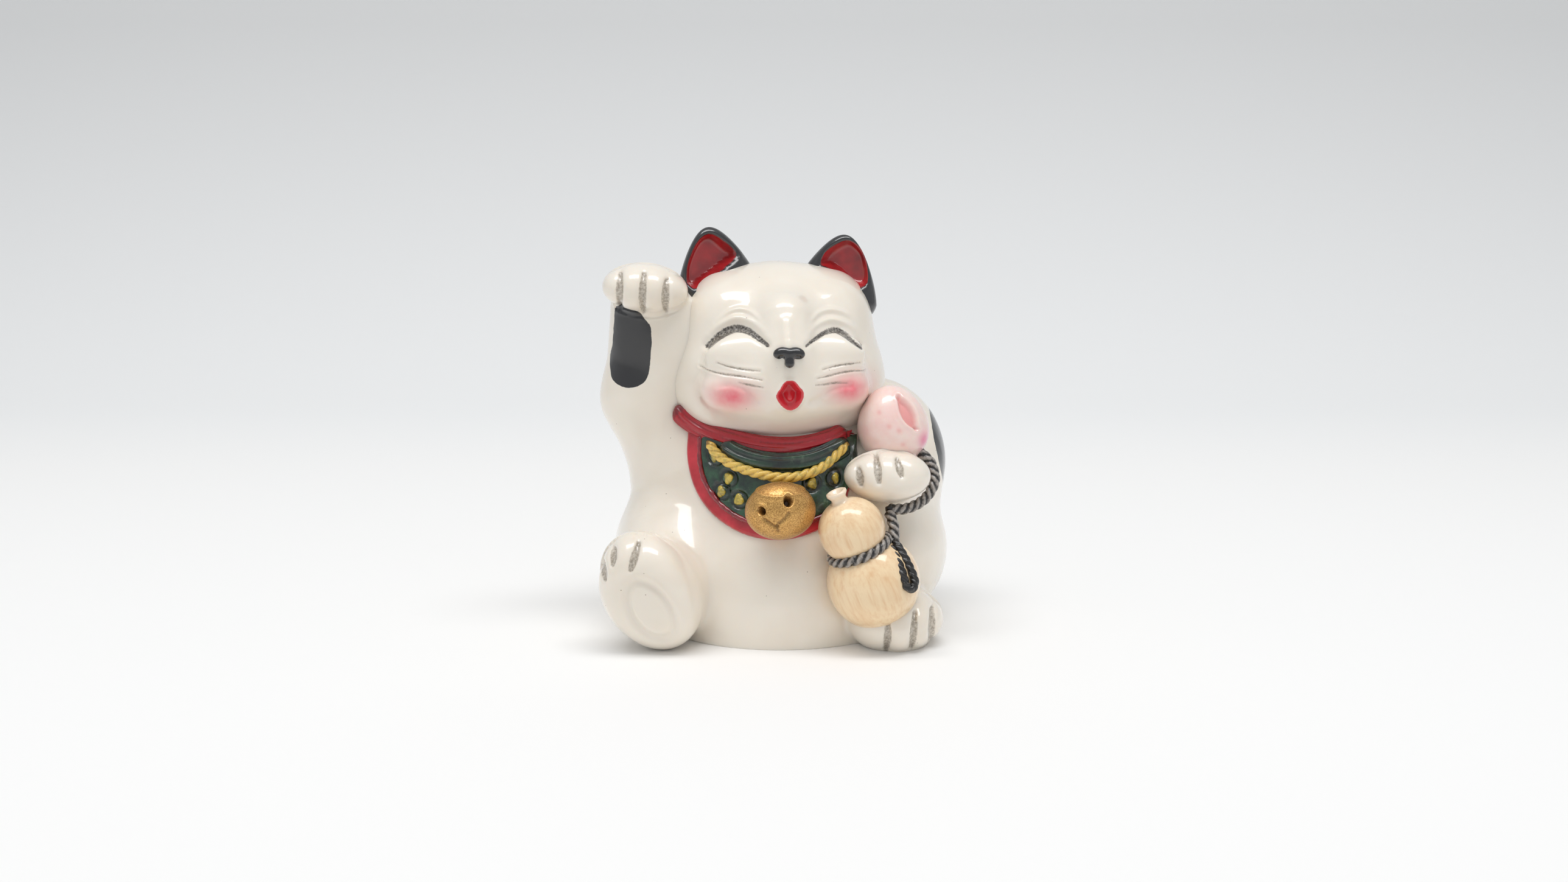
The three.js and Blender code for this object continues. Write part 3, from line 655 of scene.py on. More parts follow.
def gourd_paint(colours):
    """Straw gloss with a brown grain that runs along the gourd."""
    material, tree, shader, place_mm = paint_coat("gourd_paint", coat=0.8, roughness=0.28)
    turn = add(tree, "ShaderNodeAttribute", attribute_name="along").outputs["Vector"]
    fibres = noise(tree, turn, 0.55, 4.0, (1, 1, 0.1))
    broad = noise(tree, turn, 2.4, 3.0, (1, 1, 0.3))
    tone = mixed(tree, ramp(tree, fibres, 0.45, 0.75, 0.0, 0.4), colours.straw, colours.grain)
    tone = mixed(tree, ramp(tree, broad, 0.5, 0.75, 0.0, 0.35), tone, colours.grain)
    tone = mixed(tree, attribute(tree, "pale"), tone, linear("#fbe9d2"))
    tree.links.new(tone, shader.inputs["Base Color"])
    bump(tree, shader, noise(tree, place_mm, 1.0, 3.0), 0.05)
    return material


def peach_paint(colours):
    """Pale pink sprayed over white, with a deeper cleft and a few dabbed spots."""
    material, tree, shader, place_mm = paint_coat("peach_paint", coat=0.8, roughness=0.28)
    shader.inputs["Subsurface Weight"].default_value = 0.2
    shader.inputs["Subsurface Scale"].default_value = 1.0 * MM
    tone = mixed(tree, ramp(tree, noise(tree, place_mm, 3.0), 0.35, 0.7), colours.peach, linear("#f8d3cb"))
    tone = mixed(tree, attribute(tree, "pink"), tone, colours.pink)
    tone = mixed(tree, attribute(tree, "magenta"), tone, linear("#e56f96"))
    tree.links.new(tone, shader.inputs["Base Color"])
    bump(tree, shader, noise(tree, place_mm, 1.4, 3.0), 0.05)
    return material


# The masses of the casting, as the CAD source has them


def body_masses():
    return [
        Ball((1, -2.8, 3.5), (18.3, 17.4, 20)),
        Ball((-12.6, -0.5, 10.5), (10, 14.5, 11), 4),
        Ball((15.4, -0.5, 10.5), (10.4, 14.5, 11), 4),
        Ball((1, -0.4, 22), (15.2, 14.4, 14), 6),
        Limb((-13.9, 0, 24.5), (-18.8, -1.2, 33), (8, 5.8), 5),
        Limb((-18.8, -1.2, 33), (-19, -3.4, 46), (5.8, 4.4), 3),
        Ball((-13, -3, 41), (5, 4.5, 8), 4),
        Ball((14.2, 3.5, 23.2), (11.4, 9.5, 12), 4),
        Limb((17.4, -1, 22), (16.4, -12, 23.4), (6.6, 4.4), 4),
        Limb((-13.5, -4, 10), (-15.8, -15, 8.6), (9, 6.4), 4),
    ]


RAISED_PAW = {"at": (-18.1, -6.6, 49.2), "radii": (6.1, 4.8, 3.7), "turn": (0, 5, 0)}
HOLDING_PAW = {"at": (16, -15, 23.8), "radii": (6.1, 4.3, 3.7), "turn": (0, 0, 0)}
FLAT_FOOT = {"at": (17.2, -15.2, 3.4), "radii": (7, 8, 4.8), "turn": (0, 0, 0)}
SOLE_FOOT = {"at": (-16.9, -19.4, 8.5), "radii": (6.8, 4.8, 8.9), "turn": (8, -27, -10)}


def paw_masses():
    paws = [Ball(paw["at"], paw["radii"], 0.9, paw["turn"]) for paw in (RAISED_PAW, HOLDING_PAW, FLAT_FOOT)]
    sole = Ball(SOLE_FOOT["at"], SOLE_FOOT["radii"], 1.6, SOLE_FOOT["turn"], flat=True)
    return [*paws, sole]


def head_masses():
    """The head in its own frame, which is then turned and moved to its place."""
    sides = (-1, 1)
    return [
        Ball((0, 1, 3.2), (13.8, 13.6, 12.3)),
        Ball((0, -0.5, -2.2), (15.5, 13.4, 9.6), 5),
        *[Ball((side * 7.8, 1, 8.6), (5, 8, 5), 4) for side in sides],
        Ball((0, -12.2, -0.6), (6.4, 4.9, 5), 4),
        Limb((0, -11.2, 8.4), (0, -14.4, 4.4), (2.8, 2.1), 4),
        *[Ball((side * 7.8, -11.4, -1.4), (3.8, 3, 2.8), 3) for side in sides],
        *[Ball((side * 6.8, -11.2, 3.4), (4.4, 2.6, 2.8), 2) for side in sides],
    ]


def head_field(points):
    return blended(head_masses())((points - np.array(HEAD_AT)) @ turn_matrix(HEAD_TURN))


def body_field(points):
    return blended(body_masses())(points)


def whole_field(points):
    return np.minimum(body_field(points), head_field(points))


# Body


# A paw and its lines, from top to foot, in its own x and z, and for the sole in the cat's
TOE_LINES = [
    (RAISED_PAW, [[(-3.6, 2.3), (-3.4, -3.0)], [(-0.1, 2.7), (0.1, -3.4)], [(3.3, 2.0), (3.4, -2.9)]]),
    (HOLDING_PAW, [[(-4.3, 1.6), (-4.0, -0.8)], [(-1.7, 3.4), (-1.4, -0.2)], [(1.3, 3.0), (1.9, 0.8)]]),
    (FLAT_FOOT, [[(-1.4, 1.4), (-1.5, -3.2)], [(2.6, 2.6), (2.2, -3.0)], [(5.3, 2.4), (5.2, -2.6)]]),
    (SOLE_FOOT, [[(-18.2, 16.2), (-19.3, 12.6)], [(-21.8, 15.2), (-22.1, 13.2)], [(-23.6, 12.9), (-23.3, 10.8)]]),
]
FOREARM_PATCH = [
    (-22.5, 46.6), (-19.5, 46.2), (-18.1, 44.9), (-17.3, 43.9), (-17.2, 41.7), (-17.4, 39.7), (-17.7, 37.1),
    (-18.8, 35.6), (-21.1, 35.1), (-22.9, 36.0), (-23.4, 37.4), (-23.4, 39.6), (-23.0, 41.2), (-22.8, 43.4),
]  # fmt: skip


def on_paw(points, paw):
    """Points in a paw's own frame, and how far each lies off its surface."""
    local = (points - np.array(paw["at"])) @ turn_matrix(paw["turn"])
    mass = Ball(paw["at"], paw["radii"], turn=paw["turn"], flat=paw is SOLE_FOOT)
    return local, mass.field(points)


def carve_toes(points, normals, sizes):
    """Cuts the toe lines and returns the new points and where the wash lies in the lines."""
    wash = np.full(len(points), -9.0)
    for paw, lines in TOE_LINES:
        local, off = on_paw(points, paw)
        facing = (off < 0.5) & (local[:, 1] < 0.5)
        for line in lines:
            away, share = from_line((points if paw is SOLE_FOOT else local)[:, [0, 2]], line)
            width = sizes.toe_width * (0.75 + 0.5 * np.sin(math.pi * share))
            near = np.where(facing, away, 9)
            cut = sizes.toe_depth * np.exp(-((near / width) ** 2)) + 0.3 * np.exp(-((near / 1.5) ** 2))
            points = points - normals * cut[:, None]
            wash = np.maximum(wash, np.where(facing, width * 0.95 - away, -9))
    return points, wash


def carve_pad(points, normals):
    """The sole's pad: a soft hollow ring round an oval."""
    local, off = on_paw(points, SOLE_FOOT)
    x, z = (local[:, 0] - 0.5) / 2.8, (local[:, 2] + 1.3) / 4.7
    away = (np.hypot(x, z) - 1) * 3.4
    facing = (off < 0.6) & (local[:, 1] < 0)
    ring = np.where(facing, 0.6 * np.exp(-((away / 0.7) ** 2)), 0)
    dish = np.where(facing & (away < 0), 0.25 * smoothed(-away, 0, 1.5), 0)
    return points - normals * (ring + dish)[:, None]


def outer_arm_patch(points):
    """Signed distance to the black patch that wraps round the outside of the arm with the peach."""
    blob = Ball((26.9, 6.0, 26.4), (5.2, 10.6, 8.6), turn=(0, 12, 0))
    return -blob.field(points)


class CAT_OT_body(bpy.types.Operator):
    """Models the body, arms, paws and feet as one casting"""

    bl_idname = "cat.body"
    bl_label = "Body"

    def execute(self, context):
        sizes = context.scene.cat_sizes
        masses = body_masses() + paw_masses()

        def near_paws(middles):
            off = [on_paw(middles, paw) for paw, _ in TOE_LINES]
            return np.any([(away < 1.5) & (local[:, 1] < 1.5) for local, away in off], axis=0)

        body, field = moulded(masses, sizes.body_cell, near_paws)
        cut_flat(body)
        points = places(body)
        normals = slope(field, points)
        normals /= np.linalg.norm(normals, axis=1)[:, None]
        carved, wash = carve_toes(points, normals, sizes)
        carved = carve_pad(carved, normals)
        carved[:, 2] = np.where(points[:, 2] < 0.01, points[:, 2], np.maximum(carved[:, 2], 0.01))
        place(body, carved)
        mark(body, "wash", wash)
        seen = points[:, 1] < -2
        patch = np.where(seen, inside_outline(points[:, [0, 2]], FOREARM_PATCH), -9)
        mark(body, "patch", np.maximum(patch, outer_arm_patch(points)))
        mark(body, "hollow", np.zeros(len(points)))
        for name in ("blush", "lash", "mouth"):
            mark(body, name, np.full(len(points), 0.0 if name == "blush" else -9.0))
        finished(body, "cat_body", white_resin(context.scene.cat_colours))
        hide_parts("lucky_cat")
        return {"FINISHED"}


# Head


LASHES = [  # closed eyes: the line through x and z, its half width and how deep it is cut
    ([(-9.4, 41.6), (-7.8, 43.0), (-6.3, 43.9), (-4.8, 44.3), (-3.3, 44.0), (-2.0, 43.2), (-0.8, 42.4)], 0.45, 0.36),
    ([(4.8, 42.3), (6.0, 43.0), (7.3, 43.7), (8.8, 43.9), (10.1, 43.3), (11.3, 42.4), (12.6, 41.4)], 0.32, 0.26),
]
BROWS = [  # ridges over the eyes: the line, its half width and how far it stands out
    ([(-9.0, 43.0), (-7.4, 44.4), (-5.2, 45.5), (-3.1, 45.3), (-1.6, 44.5), (-0.7, 43.5)], 0.5, 0.5),
    ([(-8.2, 44.6), (-6.6, 46.0), (-4.8, 46.7), (-2.9, 46.4), (-1.3, 45.2)], 0.35, 0.34),
    ([(4.8, 43.3), (5.8, 44.5), (7.5, 45.1), (9.2, 44.9), (11.0, 44.0), (12.0, 43.0)], 0.5, 0.5),
    ([(5.0, 44.8), (6.2, 46.1), (8.0, 46.5), (9.8, 46.1), (11.4, 45.2)], 0.35, 0.32),
]
WHISKERS = [
    [(-7.6, 39.8), (-6.0, 39.3), (-4.5, 39.0), (-3.0, 38.9), (-1.7, 38.9)],
    [(-10.2, 38.8), (-8.3, 38.5), (-6.6, 38.2), (-4.1, 38.0), (-1.4, 37.7)],
    [(-4.6, 37.2), (-2.8, 36.9), (-1.3, 36.7)],
    [(7.0, 38.9), (8.7, 39.2), (10.4, 39.4), (12.2, 39.5)],
    [(6.2, 37.8), (7.9, 38.0), (9.6, 38.3), (11.3, 38.4), (12.9, 38.2)],
    [(6.0, 36.9), (7.2, 36.9), (8.7, 37.0), (10.4, 36.9)],
]
SMILES = [  # soft creases where the cheeks meet the muzzle
    [(-6.4, 36.6), (-4.4, 36.4), (-3.2, 35.6), (-2.2, 34.6)],
    [(5.6, 34.4), (6.9, 35.0), (8.3, 36.0), (10.6, 36.4)],
]
CHEEK_LIGHTS = [
    [(-7.6, 35.9), (-6.0, 36.3), (-4.7, 36.1), (-3.8, 35.6)],
    [(7.2, 34.9), (8.3, 35.5), (9.8, 35.9), (11.1, 35.7)],
]
MOUTH = [
    (2.0, 37.5), (2.9, 37.5), (3.5, 36.8), (4.1, 36.0), (3.9, 34.9), (3.2, 34.0), (2.4, 33.7), (1.6, 34.1),
    (0.9, 35.0), (0.7, 35.7), (1.2, 36.5), (1.6, 37.2),
]  # fmt: skip
BLUSHES = [((-5.6, 35.2), (3.1, 1.9)), ((10.8, 35.9), (2.7, 1.9))]


def carve_face(points, normals):
    """Cuts and raises the lines of the face, and returns the new points."""
    flat = points[:, [0, 2]]
    front = points[:, 1] < -6
    lift = np.zeros(len(points))
    for line, width, depth in LASHES:
        lift -= depth * np.exp(-((from_line(flat, line)[0] / (width * 1.1)) ** 2))
    for line, width, height in BROWS:
        away, share = from_line(flat, line)
        lift += height * np.sin(math.pi * np.clip(share, 0.04, 0.96)) * np.exp(-((away / width) ** 2))
    for line in WHISKERS:
        away, share = from_line(flat, line)
        lift += 0.14 * np.exp(-((away / 0.5) ** 2)) - 0.22 * np.exp(-((away / 0.2) ** 2))
    for line in SMILES:
        lift -= 0.28 * np.exp(-((from_line(flat, line)[0] / 0.6) ** 2))
    for line in CHEEK_LIGHTS:
        lift += 0.22 * np.exp(-((from_line(flat, line)[0] / 0.45) ** 2))
    groove = from_line(flat, [(2.3, 39.6), (2.35, 37.6)])[0]
    lift -= 0.45 * np.exp(-((groove / 0.65) ** 2))
    bridge = from_line(flat, [(1.9, 45.4), (2.1, 42.2)])[0]
    lift += 0.35 * np.exp(-((bridge / 0.8) ** 2))
    inside = inside_outline(flat, MOUTH)
    lift += 0.22 * np.exp(-(((inside + 0.12) / 0.3) ** 2))
    tongue = np.exp(-(((flat[:, 0] - 2.5) / 0.85) ** 2) - ((flat[:, 1] - 34.9) / 0.9) ** 2)
    lift -= smoothed(inside, 0.0, 0.75) * (1.35 - 0.95 * tongue)
    return points + normals * np.where(front, lift, 0)[:, None], inside


def face_paint(flat, front):
    """Where blush, wash and the dark of the closed eyes lie on the face."""
    blush = np.zeros(len(flat))
    for (x, z), (wide, tall) in BLUSHES:
        blush += np.exp(-(((flat[:, 0] - x) / wide) ** 2) - ((flat[:, 1] - z) / tall) ** 2)
    wash = np.full(len(flat), -9.0)
    for line in WHISKERS:
        away, share = from_line(flat, line)
        wash = np.maximum(wash, 0.16 * np.sin(math.pi * np.clip(share, 0.1, 0.9)) - away)
    lash = np.full(len(flat), -9.0)
    for line, width, _ in LASHES:
        away, share = from_line(flat, line)
        lash = np.maximum(lash, width * (0.55 + 0.45 * np.sin(math.pi * share)) - away)
    return blush * front, np.where(front, wash, -9), np.where(front, lash, -9)


class CAT_OT_head(bpy.types.Operator):
    """Models the head with its closed eyes, whiskers and open mouth"""

    bl_idname = "cat.head"
    bl_label = "Head"

    def execute(self, context):
        sizes = context.scene.cat_sizes
        skin = joined([mass.model() for mass in head_masses()])
        place(skin, moved(places(skin), HEAD_AT, HEAD_TURN))
        remeshed(skin, sizes.head_cell * (1))
        refined(skin, lambda at: (at[:, 1] < -8) & (at[:, 2] > 32.5) & (at[:, 2] < 48))
        eased(skin, head_field)
        points = places(skin)
        normals = slope(head_field, points)
        normals /= np.linalg.norm(normals, axis=1)[:, None]
        carved, inside = carve_face(points, normals)
        place(skin, carved)
        front = points[:, 1] < -6
        blush, wash, lash = face_paint(points[:, [0, 2]], front)
        mark(skin, "blush", blush)
        mark(skin, "wash", wash)
        mark(skin, "lash", lash)
        mark(skin, "mouth", np.where(front, inside + 0.14, -9))
        mark(skin, "patch", np.full(len(points), -9.0))
        mark(skin, "hollow", np.zeros(len(points)))
        finished(skin, "cat_head", bpy.data.materials["white_resin"])
        return {"FINISHED"}


class CAT_OT_nose(bpy.types.Operator):
    """Models the black nose: two wings with their nostrils, and the stem between them"""

    bl_idname = "cat.nose"
    bl_label = "Nose"

    def execute(self, context):
        def spot(x, z, lift):
            return onto_front(head_field, [x], [z], lift)[0]

        masses = [
            Ball(spot(1.25, 41.45, 0.0), (1.15, 0.8, 0.82), 0.3, (0, -14, 0)),
            Ball(spot(3.35, 41.4, 0.0), (1.15, 0.8, 0.82), 0.3, (0, 14, 0)),
            Ball(spot(2.3, 41.5, 0.1), (1.0, 0.7, 0.62), 0.4),
            Limb(spot(2.3, 41.2, 0.1), spot(2.35, 40.1, 0.1), (0.62, 0.68), 0.3),
        ]
        nose, field = moulded(masses, 0.09)
        points = places(nose)
        normals = slope(field, points)
        normals /= np.linalg.norm(normals, axis=1)[:, None]
        holes = [Ball(spot(x, 40.85, 0.5), (0.42, 0.7, 0.34)).field(points) for x in (1.3, 3.4)]
        cut = smoothed(-np.minimum(*holes), -0.12, 0.12) * 0.35
        place(nose, points - normals * cut[:, None])
        colours = context.scene.cat_colours
        paint = glossy_paint("black_enamel", colours.black, linear("#0d0c0e"), depth=0.03, coat=0.9, roughness=0.25)
        finished(nose, "nose", paint)
        return {"FINISHED"}


# Ears


EAR_LININGS = {  # outline of the red inside each ear, as seen from the front
    -1: [
        (-12.2, 49.8), (-12.1, 52.4), (-10.7, 55.6), (-8.9, 56.7), (-6.9, 55.6), (-5.1, 53.7), (-6.6, 52.0),
        (-8.8, 50.3), (-10.9, 49.0),
    ],
    1: [
        (6.7, 52.2), (7.6, 54.0), (9.5, 55.3), (11.2, 55.6), (13.0, 54.1), (13.6, 52.0), (13.6, 49.6),
        (12.2, 48.9), (10.6, 49.6), (8.7, 51.4),
    ],
}  # fmt: skip

def ear_mesh(side):
    """One ear: a tapering petal whose front is scooped out inside a rim."""
    bpy.ops.mesh.primitive_uv_sphere_add(segments=96, ring_count=64, radius=1)
    ear = bpy.context.object
    unit = places(ear)
    taper = 1 - 0.36 * np.maximum(unit[:, 2], 0)
    shaped = unit.copy()
    shaped[:, :2] *= taper[:, None]
    shaped[:, 2] = np.where(unit[:, 2] < 0, unit[:, 2] * 0.45, unit[:, 2])
    shaped *= (6.3, 3.4, 9.2)

    def posed(points):
        in_head = moved(points, (side * 8.5, 0.8, 10.8 - side * 0.6), (4, side * 10, side * -14))
        return moved(in_head, HEAD_AT, HEAD_TURN)

    front = shaped[:, 1] < 0
    lining = np.where(front, inside_outline(posed(shaped)[:, [0, 2]], EAR_LININGS[side]), -9)
    scoop = smoothed(lining, -0.35, 0.9)
    rim = 0.12 * np.exp(-(((lining + 0.5) / 0.35) ** 2))
    scooped = shaped[:, 1] * (1 - 0.9 * scoop) + 0.5 * scoop - rim
    shaped[:, 1] = np.where(front, scooped, shaped[:, 1])
    place(ear, posed(shaped))
    mark(ear, "lining", lining)
    return ear


class CAT_OT_ears(bpy.types.Operator):
    """Models the two ears, black with a red lining"""

    bl_idname = "cat.ears"
    bl_label = "Ears"

    def execute(self, context):
        paint = ear_enamel(context.scene.cat_colours)
        for name, side in (("ear_right", -1), ("ear_left", 1)):
            finished(ear_mesh(side), name, paint)
        return {"FINISHED"}


# Collar and bib


COLLAR_FRONT = [
    (-14.0, 32.4), (-12.2, 31), (-9.6, 29.6), (-5.8, 28.3), (-1.3, 27.6), (3.2, 27.5), (7.7, 28.2), (10.2, 29),
]  # fmt: skip
HEM_TOP = [(-11.8, 30), (-4, 28.4), (3, 28.2), (11, 29)]
HEM = [
    (-12.2, 29), (-12.2, 25), (-10.9, 20.8), (-8, 17.6), (-3.7, 15.6), (1.5, 15.1), (6.4, 16.2), (9.6, 18.6),
    (11, 22), (11.2, 26), (11, 28.5),
]  # fmt: skip
CLOTH_TOP = [(-9.8, 29), (-4, 27.6), (3, 27.4), (11.4, 28.2)]
CLOTH = [
    (-10, 28), (-9.9, 24.6), (-8.8, 21.6), (-6.4, 19), (-2.9, 17.3), (1.5, 16.8), (5.6, 17.6), (9, 19.6),
    (11.4, 22.6), (12, 25.4), (11.9, 28),
]  # fmt: skip
DOTS = [(-7.7, 25.8), (-5.8, 23.1), (-6.8, 21.2), (-4.4, 20.3), (5.3, 22.6), (8.4, 23.1)]
FOLD = [(-6.9, 27.2), (-4.6, 26.2), (-1.6, 25.5), (1.8, 25.3), (5.4, 25.7), (8.6, 26.8), (10.2, 27.6)]
CORD = [(-8.4, 27.4), (-7.2, 26.2), (-5.2, 25.0), (-2.0, 24.0), (1.0, 23.5), (3.8, 23.7), (6.6, 24.8), (9.9, 27.2)]


def patch_on_chest(name, top, edge, lift, rim):
    """A grid between its top and its edge, laid on the chest, whose edge rounds down over the rim."""
    columns, rows = ((200, 72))
    upper, lower = curve_through(top, columns), curve_through(edge, columns)
    share = np.linspace(0, 1, rows)[:, None, None]
    flat = (upper[None] * (1 - share) + lower[None] * share).reshape(-1, 2)
    within = np.clip(from_line(flat, edge)[0] / rim, 0, 1)
    rounded = np.sqrt(1 - (1 - within) ** 2)
    front = onto_front(body_field, flat[:, 0], flat[:, 1])
    normals = slope(body_field, front)
    normals /= np.linalg.norm(normals, axis=1)[:, None]
    points = front + normals * (lift * rounded - 0.25 * (1 - rounded))[:, None]
    n, m = np.meshgrid(np.arange(rows - 1), np.arange(columns - 1), indexing="ij")
    corner = (n * columns + m).ravel()
    faces = np.stack([corner, corner + columns, corner + columns + 1, corner + 1], axis=1)
    return mesh_piece(name, points, faces), flat, normals


def thickened(piece, thickness=1.2):
    only(piece)
    wall = piece.modifiers.new("Wall", "SOLIDIFY")
    wall.thickness = thickness
    wall.offset = -1
    bpy.ops.object.modifier_apply(modifier=wall.name)


class CAT_OT_collar(bpy.types.Operator):
    """Models the red collar, rolled and combed in front and plain at the nape"""

    bl_idname = "cat.collar"
    bl_label = "Collar"

    def execute(self, context):
        colours = context.scene.cat_colours

        def combed(angle, along, share):
            comb = 0.08 * np.cos(9 * angle + 0.22 * along) + 0.05 * np.cos(14 * angle - 0.31 * along + 1)
            blunt = np.minimum(1, np.sqrt(np.clip(np.minimum(share, 1 - share) * 22, 0.02, 1)))
            return (1.05 + comb) * blunt, (1.45 + comb) * blunt

        x, z = np.array(COLLAR_FRONT).T
        front = swept("collar_front", onto_front(whole_field, x, z, 0.35), combed, 0.2, 56)
        # The darker red in the combed grooves is painted shade
        paint = rope_paint("collar_paint", colours.collar, linear("#7c121c"), colours, 0.03)
        finished(front, "collar_front", paint)

        degrees = np.radians([-58, -38, -16, 6, 26, 42])
        nape = []
        for angle in degrees:
            middle = np.array([0.5, 1, 30.8 + 3 * math.sin(angle) ** 2])
            outward = np.array([math.sin(angle), math.cos(angle), 0])
            reach = np.linspace(30, 4, 500)[:, None]
            inside = whole_field(middle + outward * reach) < 0
            nape.append(middle + outward * reach[np.argmax(inside), 0])
        back = swept("collar_back", nape, combed, 0.3, 40, (0, 1, 0))
        finished(back, "collar_back", paint)
        return {"FINISHED"}


class CAT_OT_bib(bpy.types.Operator):
    """Models the green bib with its red hem, fold and yellow dots"""

    bl_idname = "cat.bib"
    bl_label = "Bib"

    def execute(self, context):
        sizes, colours = context.scene.cat_sizes, context.scene.cat_colours
        hem, flat, normals = patch_on_chest("bib_hem", HEM_TOP, HEM, sizes.bib_lift, sizes.rim)
        sunk = 0.45 * smoothed(inside_outline(flat, CLOTH), 0.3, 0.8)
        place(hem, places(hem) - normals * sunk[:, None])
        thickened(hem)
        hem_paint = glossy_paint(
            "hem_enamel", colours.collar, linear("#cf2a38"), 3.0, 0.35, 0.65, 0.04, coat=0.9, roughness=0.28
        )
        finished(hem, "bib_hem", hem_paint)

        cloth, flat, normals = patch_on_chest("bib_cloth", CLOTH_TOP, CLOTH, sizes.cloth_lift, sizes.rim)
        points = places(cloth)
        # hollow carries painted shade in the moat round each dot
        moat, hollow = np.zeros(len(points)), np.zeros(len(points))
        for x, z in DOTS:
            away = np.hypot(flat[:, 0] - x, flat[:, 1] - z)
            ring = np.exp(-(((away - 1.05) / 0.28) ** 2))
            moat -= 0.28 * ring
            hollow = np.maximum(hollow, ring)
        ripple = 0.1 * np.sin(flat[:, 0] * 0.9 + 0.7 * np.sin(flat[:, 1] * 0.6)) * np.cos(flat[:, 1] * 0.8)
        # Painted shadow of the gold cord on the cloth below it
        under = np.exp(-((from_line(flat, CORD)[0] / 1.1) ** 2)) * 0.7
        place(cloth, points + normals * (moat + ripple)[:, None])
        mark(cloth, "hollow", np.maximum(hollow * 0.85, under))
        thickened(cloth)
        cloth_look = cloth_paint(colours)
        finished(cloth, "bib_cloth", cloth_look)

        def ridge_section(angle, along, share):
            bead = 0.36 + 0.04 * np.sin(along * 2.3) + 0.03 * np.sin(along * 5.1 + 1)
            return (bead,) * 2

        x, z = np.array(CLOTH[:8]).T
        ridge = swept("bib_ridge", onto_front(body_field, x, z, 0.75), ridge_section, 0.2, 16)
        dark_red = glossy_paint("ridge_enamel", linear("#6d0d18"), linear("#a01c2a"), 1.0, coat=1.0, roughness=0.2)
        finished(ridge, "bib_ridge", dark_red)

        def pleated(angle, along, share):
            pleat = 0.12 * np.cos(7 * angle + 0.15 * along) + 0.06 * np.cos(12 * angle - 0.2 * along)
            blunt = np.minimum(1, np.sqrt(np.clip(np.minimum(share, 1 - share) * 16, 0.02, 1)))
            return (0.8 + pleat) * blunt, (1.5 + pleat) * blunt

        x, z = np.array(FOLD).T
        fold = swept("bib_fold", onto_front(body_field, x, z, 0.95), pleated, 0.2, 40)
        # Painted shade: the fold a little darker all over, and darkest low between its pleats
        mark(fold, "hollow", 0.55 * smoothed(0.95 - values_of(fold, "height"), 0.0, 0.3) + 0.25)
        finished(fold, "bib_fold", cloth_look)
        self.dots(context)
        return {"FINISHED"}

    def dots(self, context):
        colours, made = context.scene.cat_colours, []
        for n, (x, z) in enumerate(DOTS):
            at = onto_front(body_field, [x], [z], context.scene.cat_sizes.cloth_lift)[0]
            bpy.ops.mesh.primitive_uv_sphere_add(segments=28, ring_count=16, radius=1)
            dot = bpy.context.object
            points = places(dot)
            uneven = 1 + 0.12 * np.sin(3 * np.arctan2(points[:, 2], points[:, 0]) + n)
            place(dot, moved(points * uneven[:, None] * (0.8, 0.42, 0.8), at, (-12, 0, 8 * x)))
            made.append(dot)
        paint = glossy_paint("dot_enamel", colours.yellow, linear("#9a8b3a"), 0.7, 0.4, 0.6, 0.12, coat=0.8)
        finished(joined(made), "bib_dots", paint)


def values_of(piece, name):
    layer = piece.data.attributes[name]
    values = np.empty(len(layer.data))
    layer.data.foreach_get("value", values)
    return values


# Cord and bell


class CAT_OT_cord(bpy.types.Operator):
    """Models the gold twisted cord"""

    bl_idname = "cat.cord"
    bl_label = "Cord"

    def execute(self, context):
        sizes, colours = context.scene.cat_sizes, context.scene.cat_colours
        x, z = np.array(CORD).T
        path = onto_front(body_field, x, z, sizes.cloth_lift + 0.5)
        cord = swept("gold_cord", path, strands(sizes.cord, 3, 4.2), 0.12, 42)
        # The darker gold in the grooves between the strands is painted shade
        paint = rope_paint("gold_cord_paint", colours.gold, linear("#8f6a28"), colours, 0.06, wash=linear("#7f8a4a"))
        finished(cord, "gold_cord", paint)
        return {"FINISHED"}


BELL = {"at": (1.1, -19.9, 19.9), "radii": (4.9, 3.75, 4.05), "turn": (10, 0, 8)}
BELL_HOLES = [(0.7, 2.5, 0.62), (-3.0, 1.2, 0.52)]  # x, z and radius in the bell's own frame
BELL_SLITS = [
    [(-2.7, 0.2), (-1.9, -0.4), (-1.1, -0.9)],
    [(0.7, 1.1), (0.0, 0.3), (-0.8, -0.4), (-0.9, -0.9)],
    [(-0.9, -0.8), (-0.8, -1.8)],
]


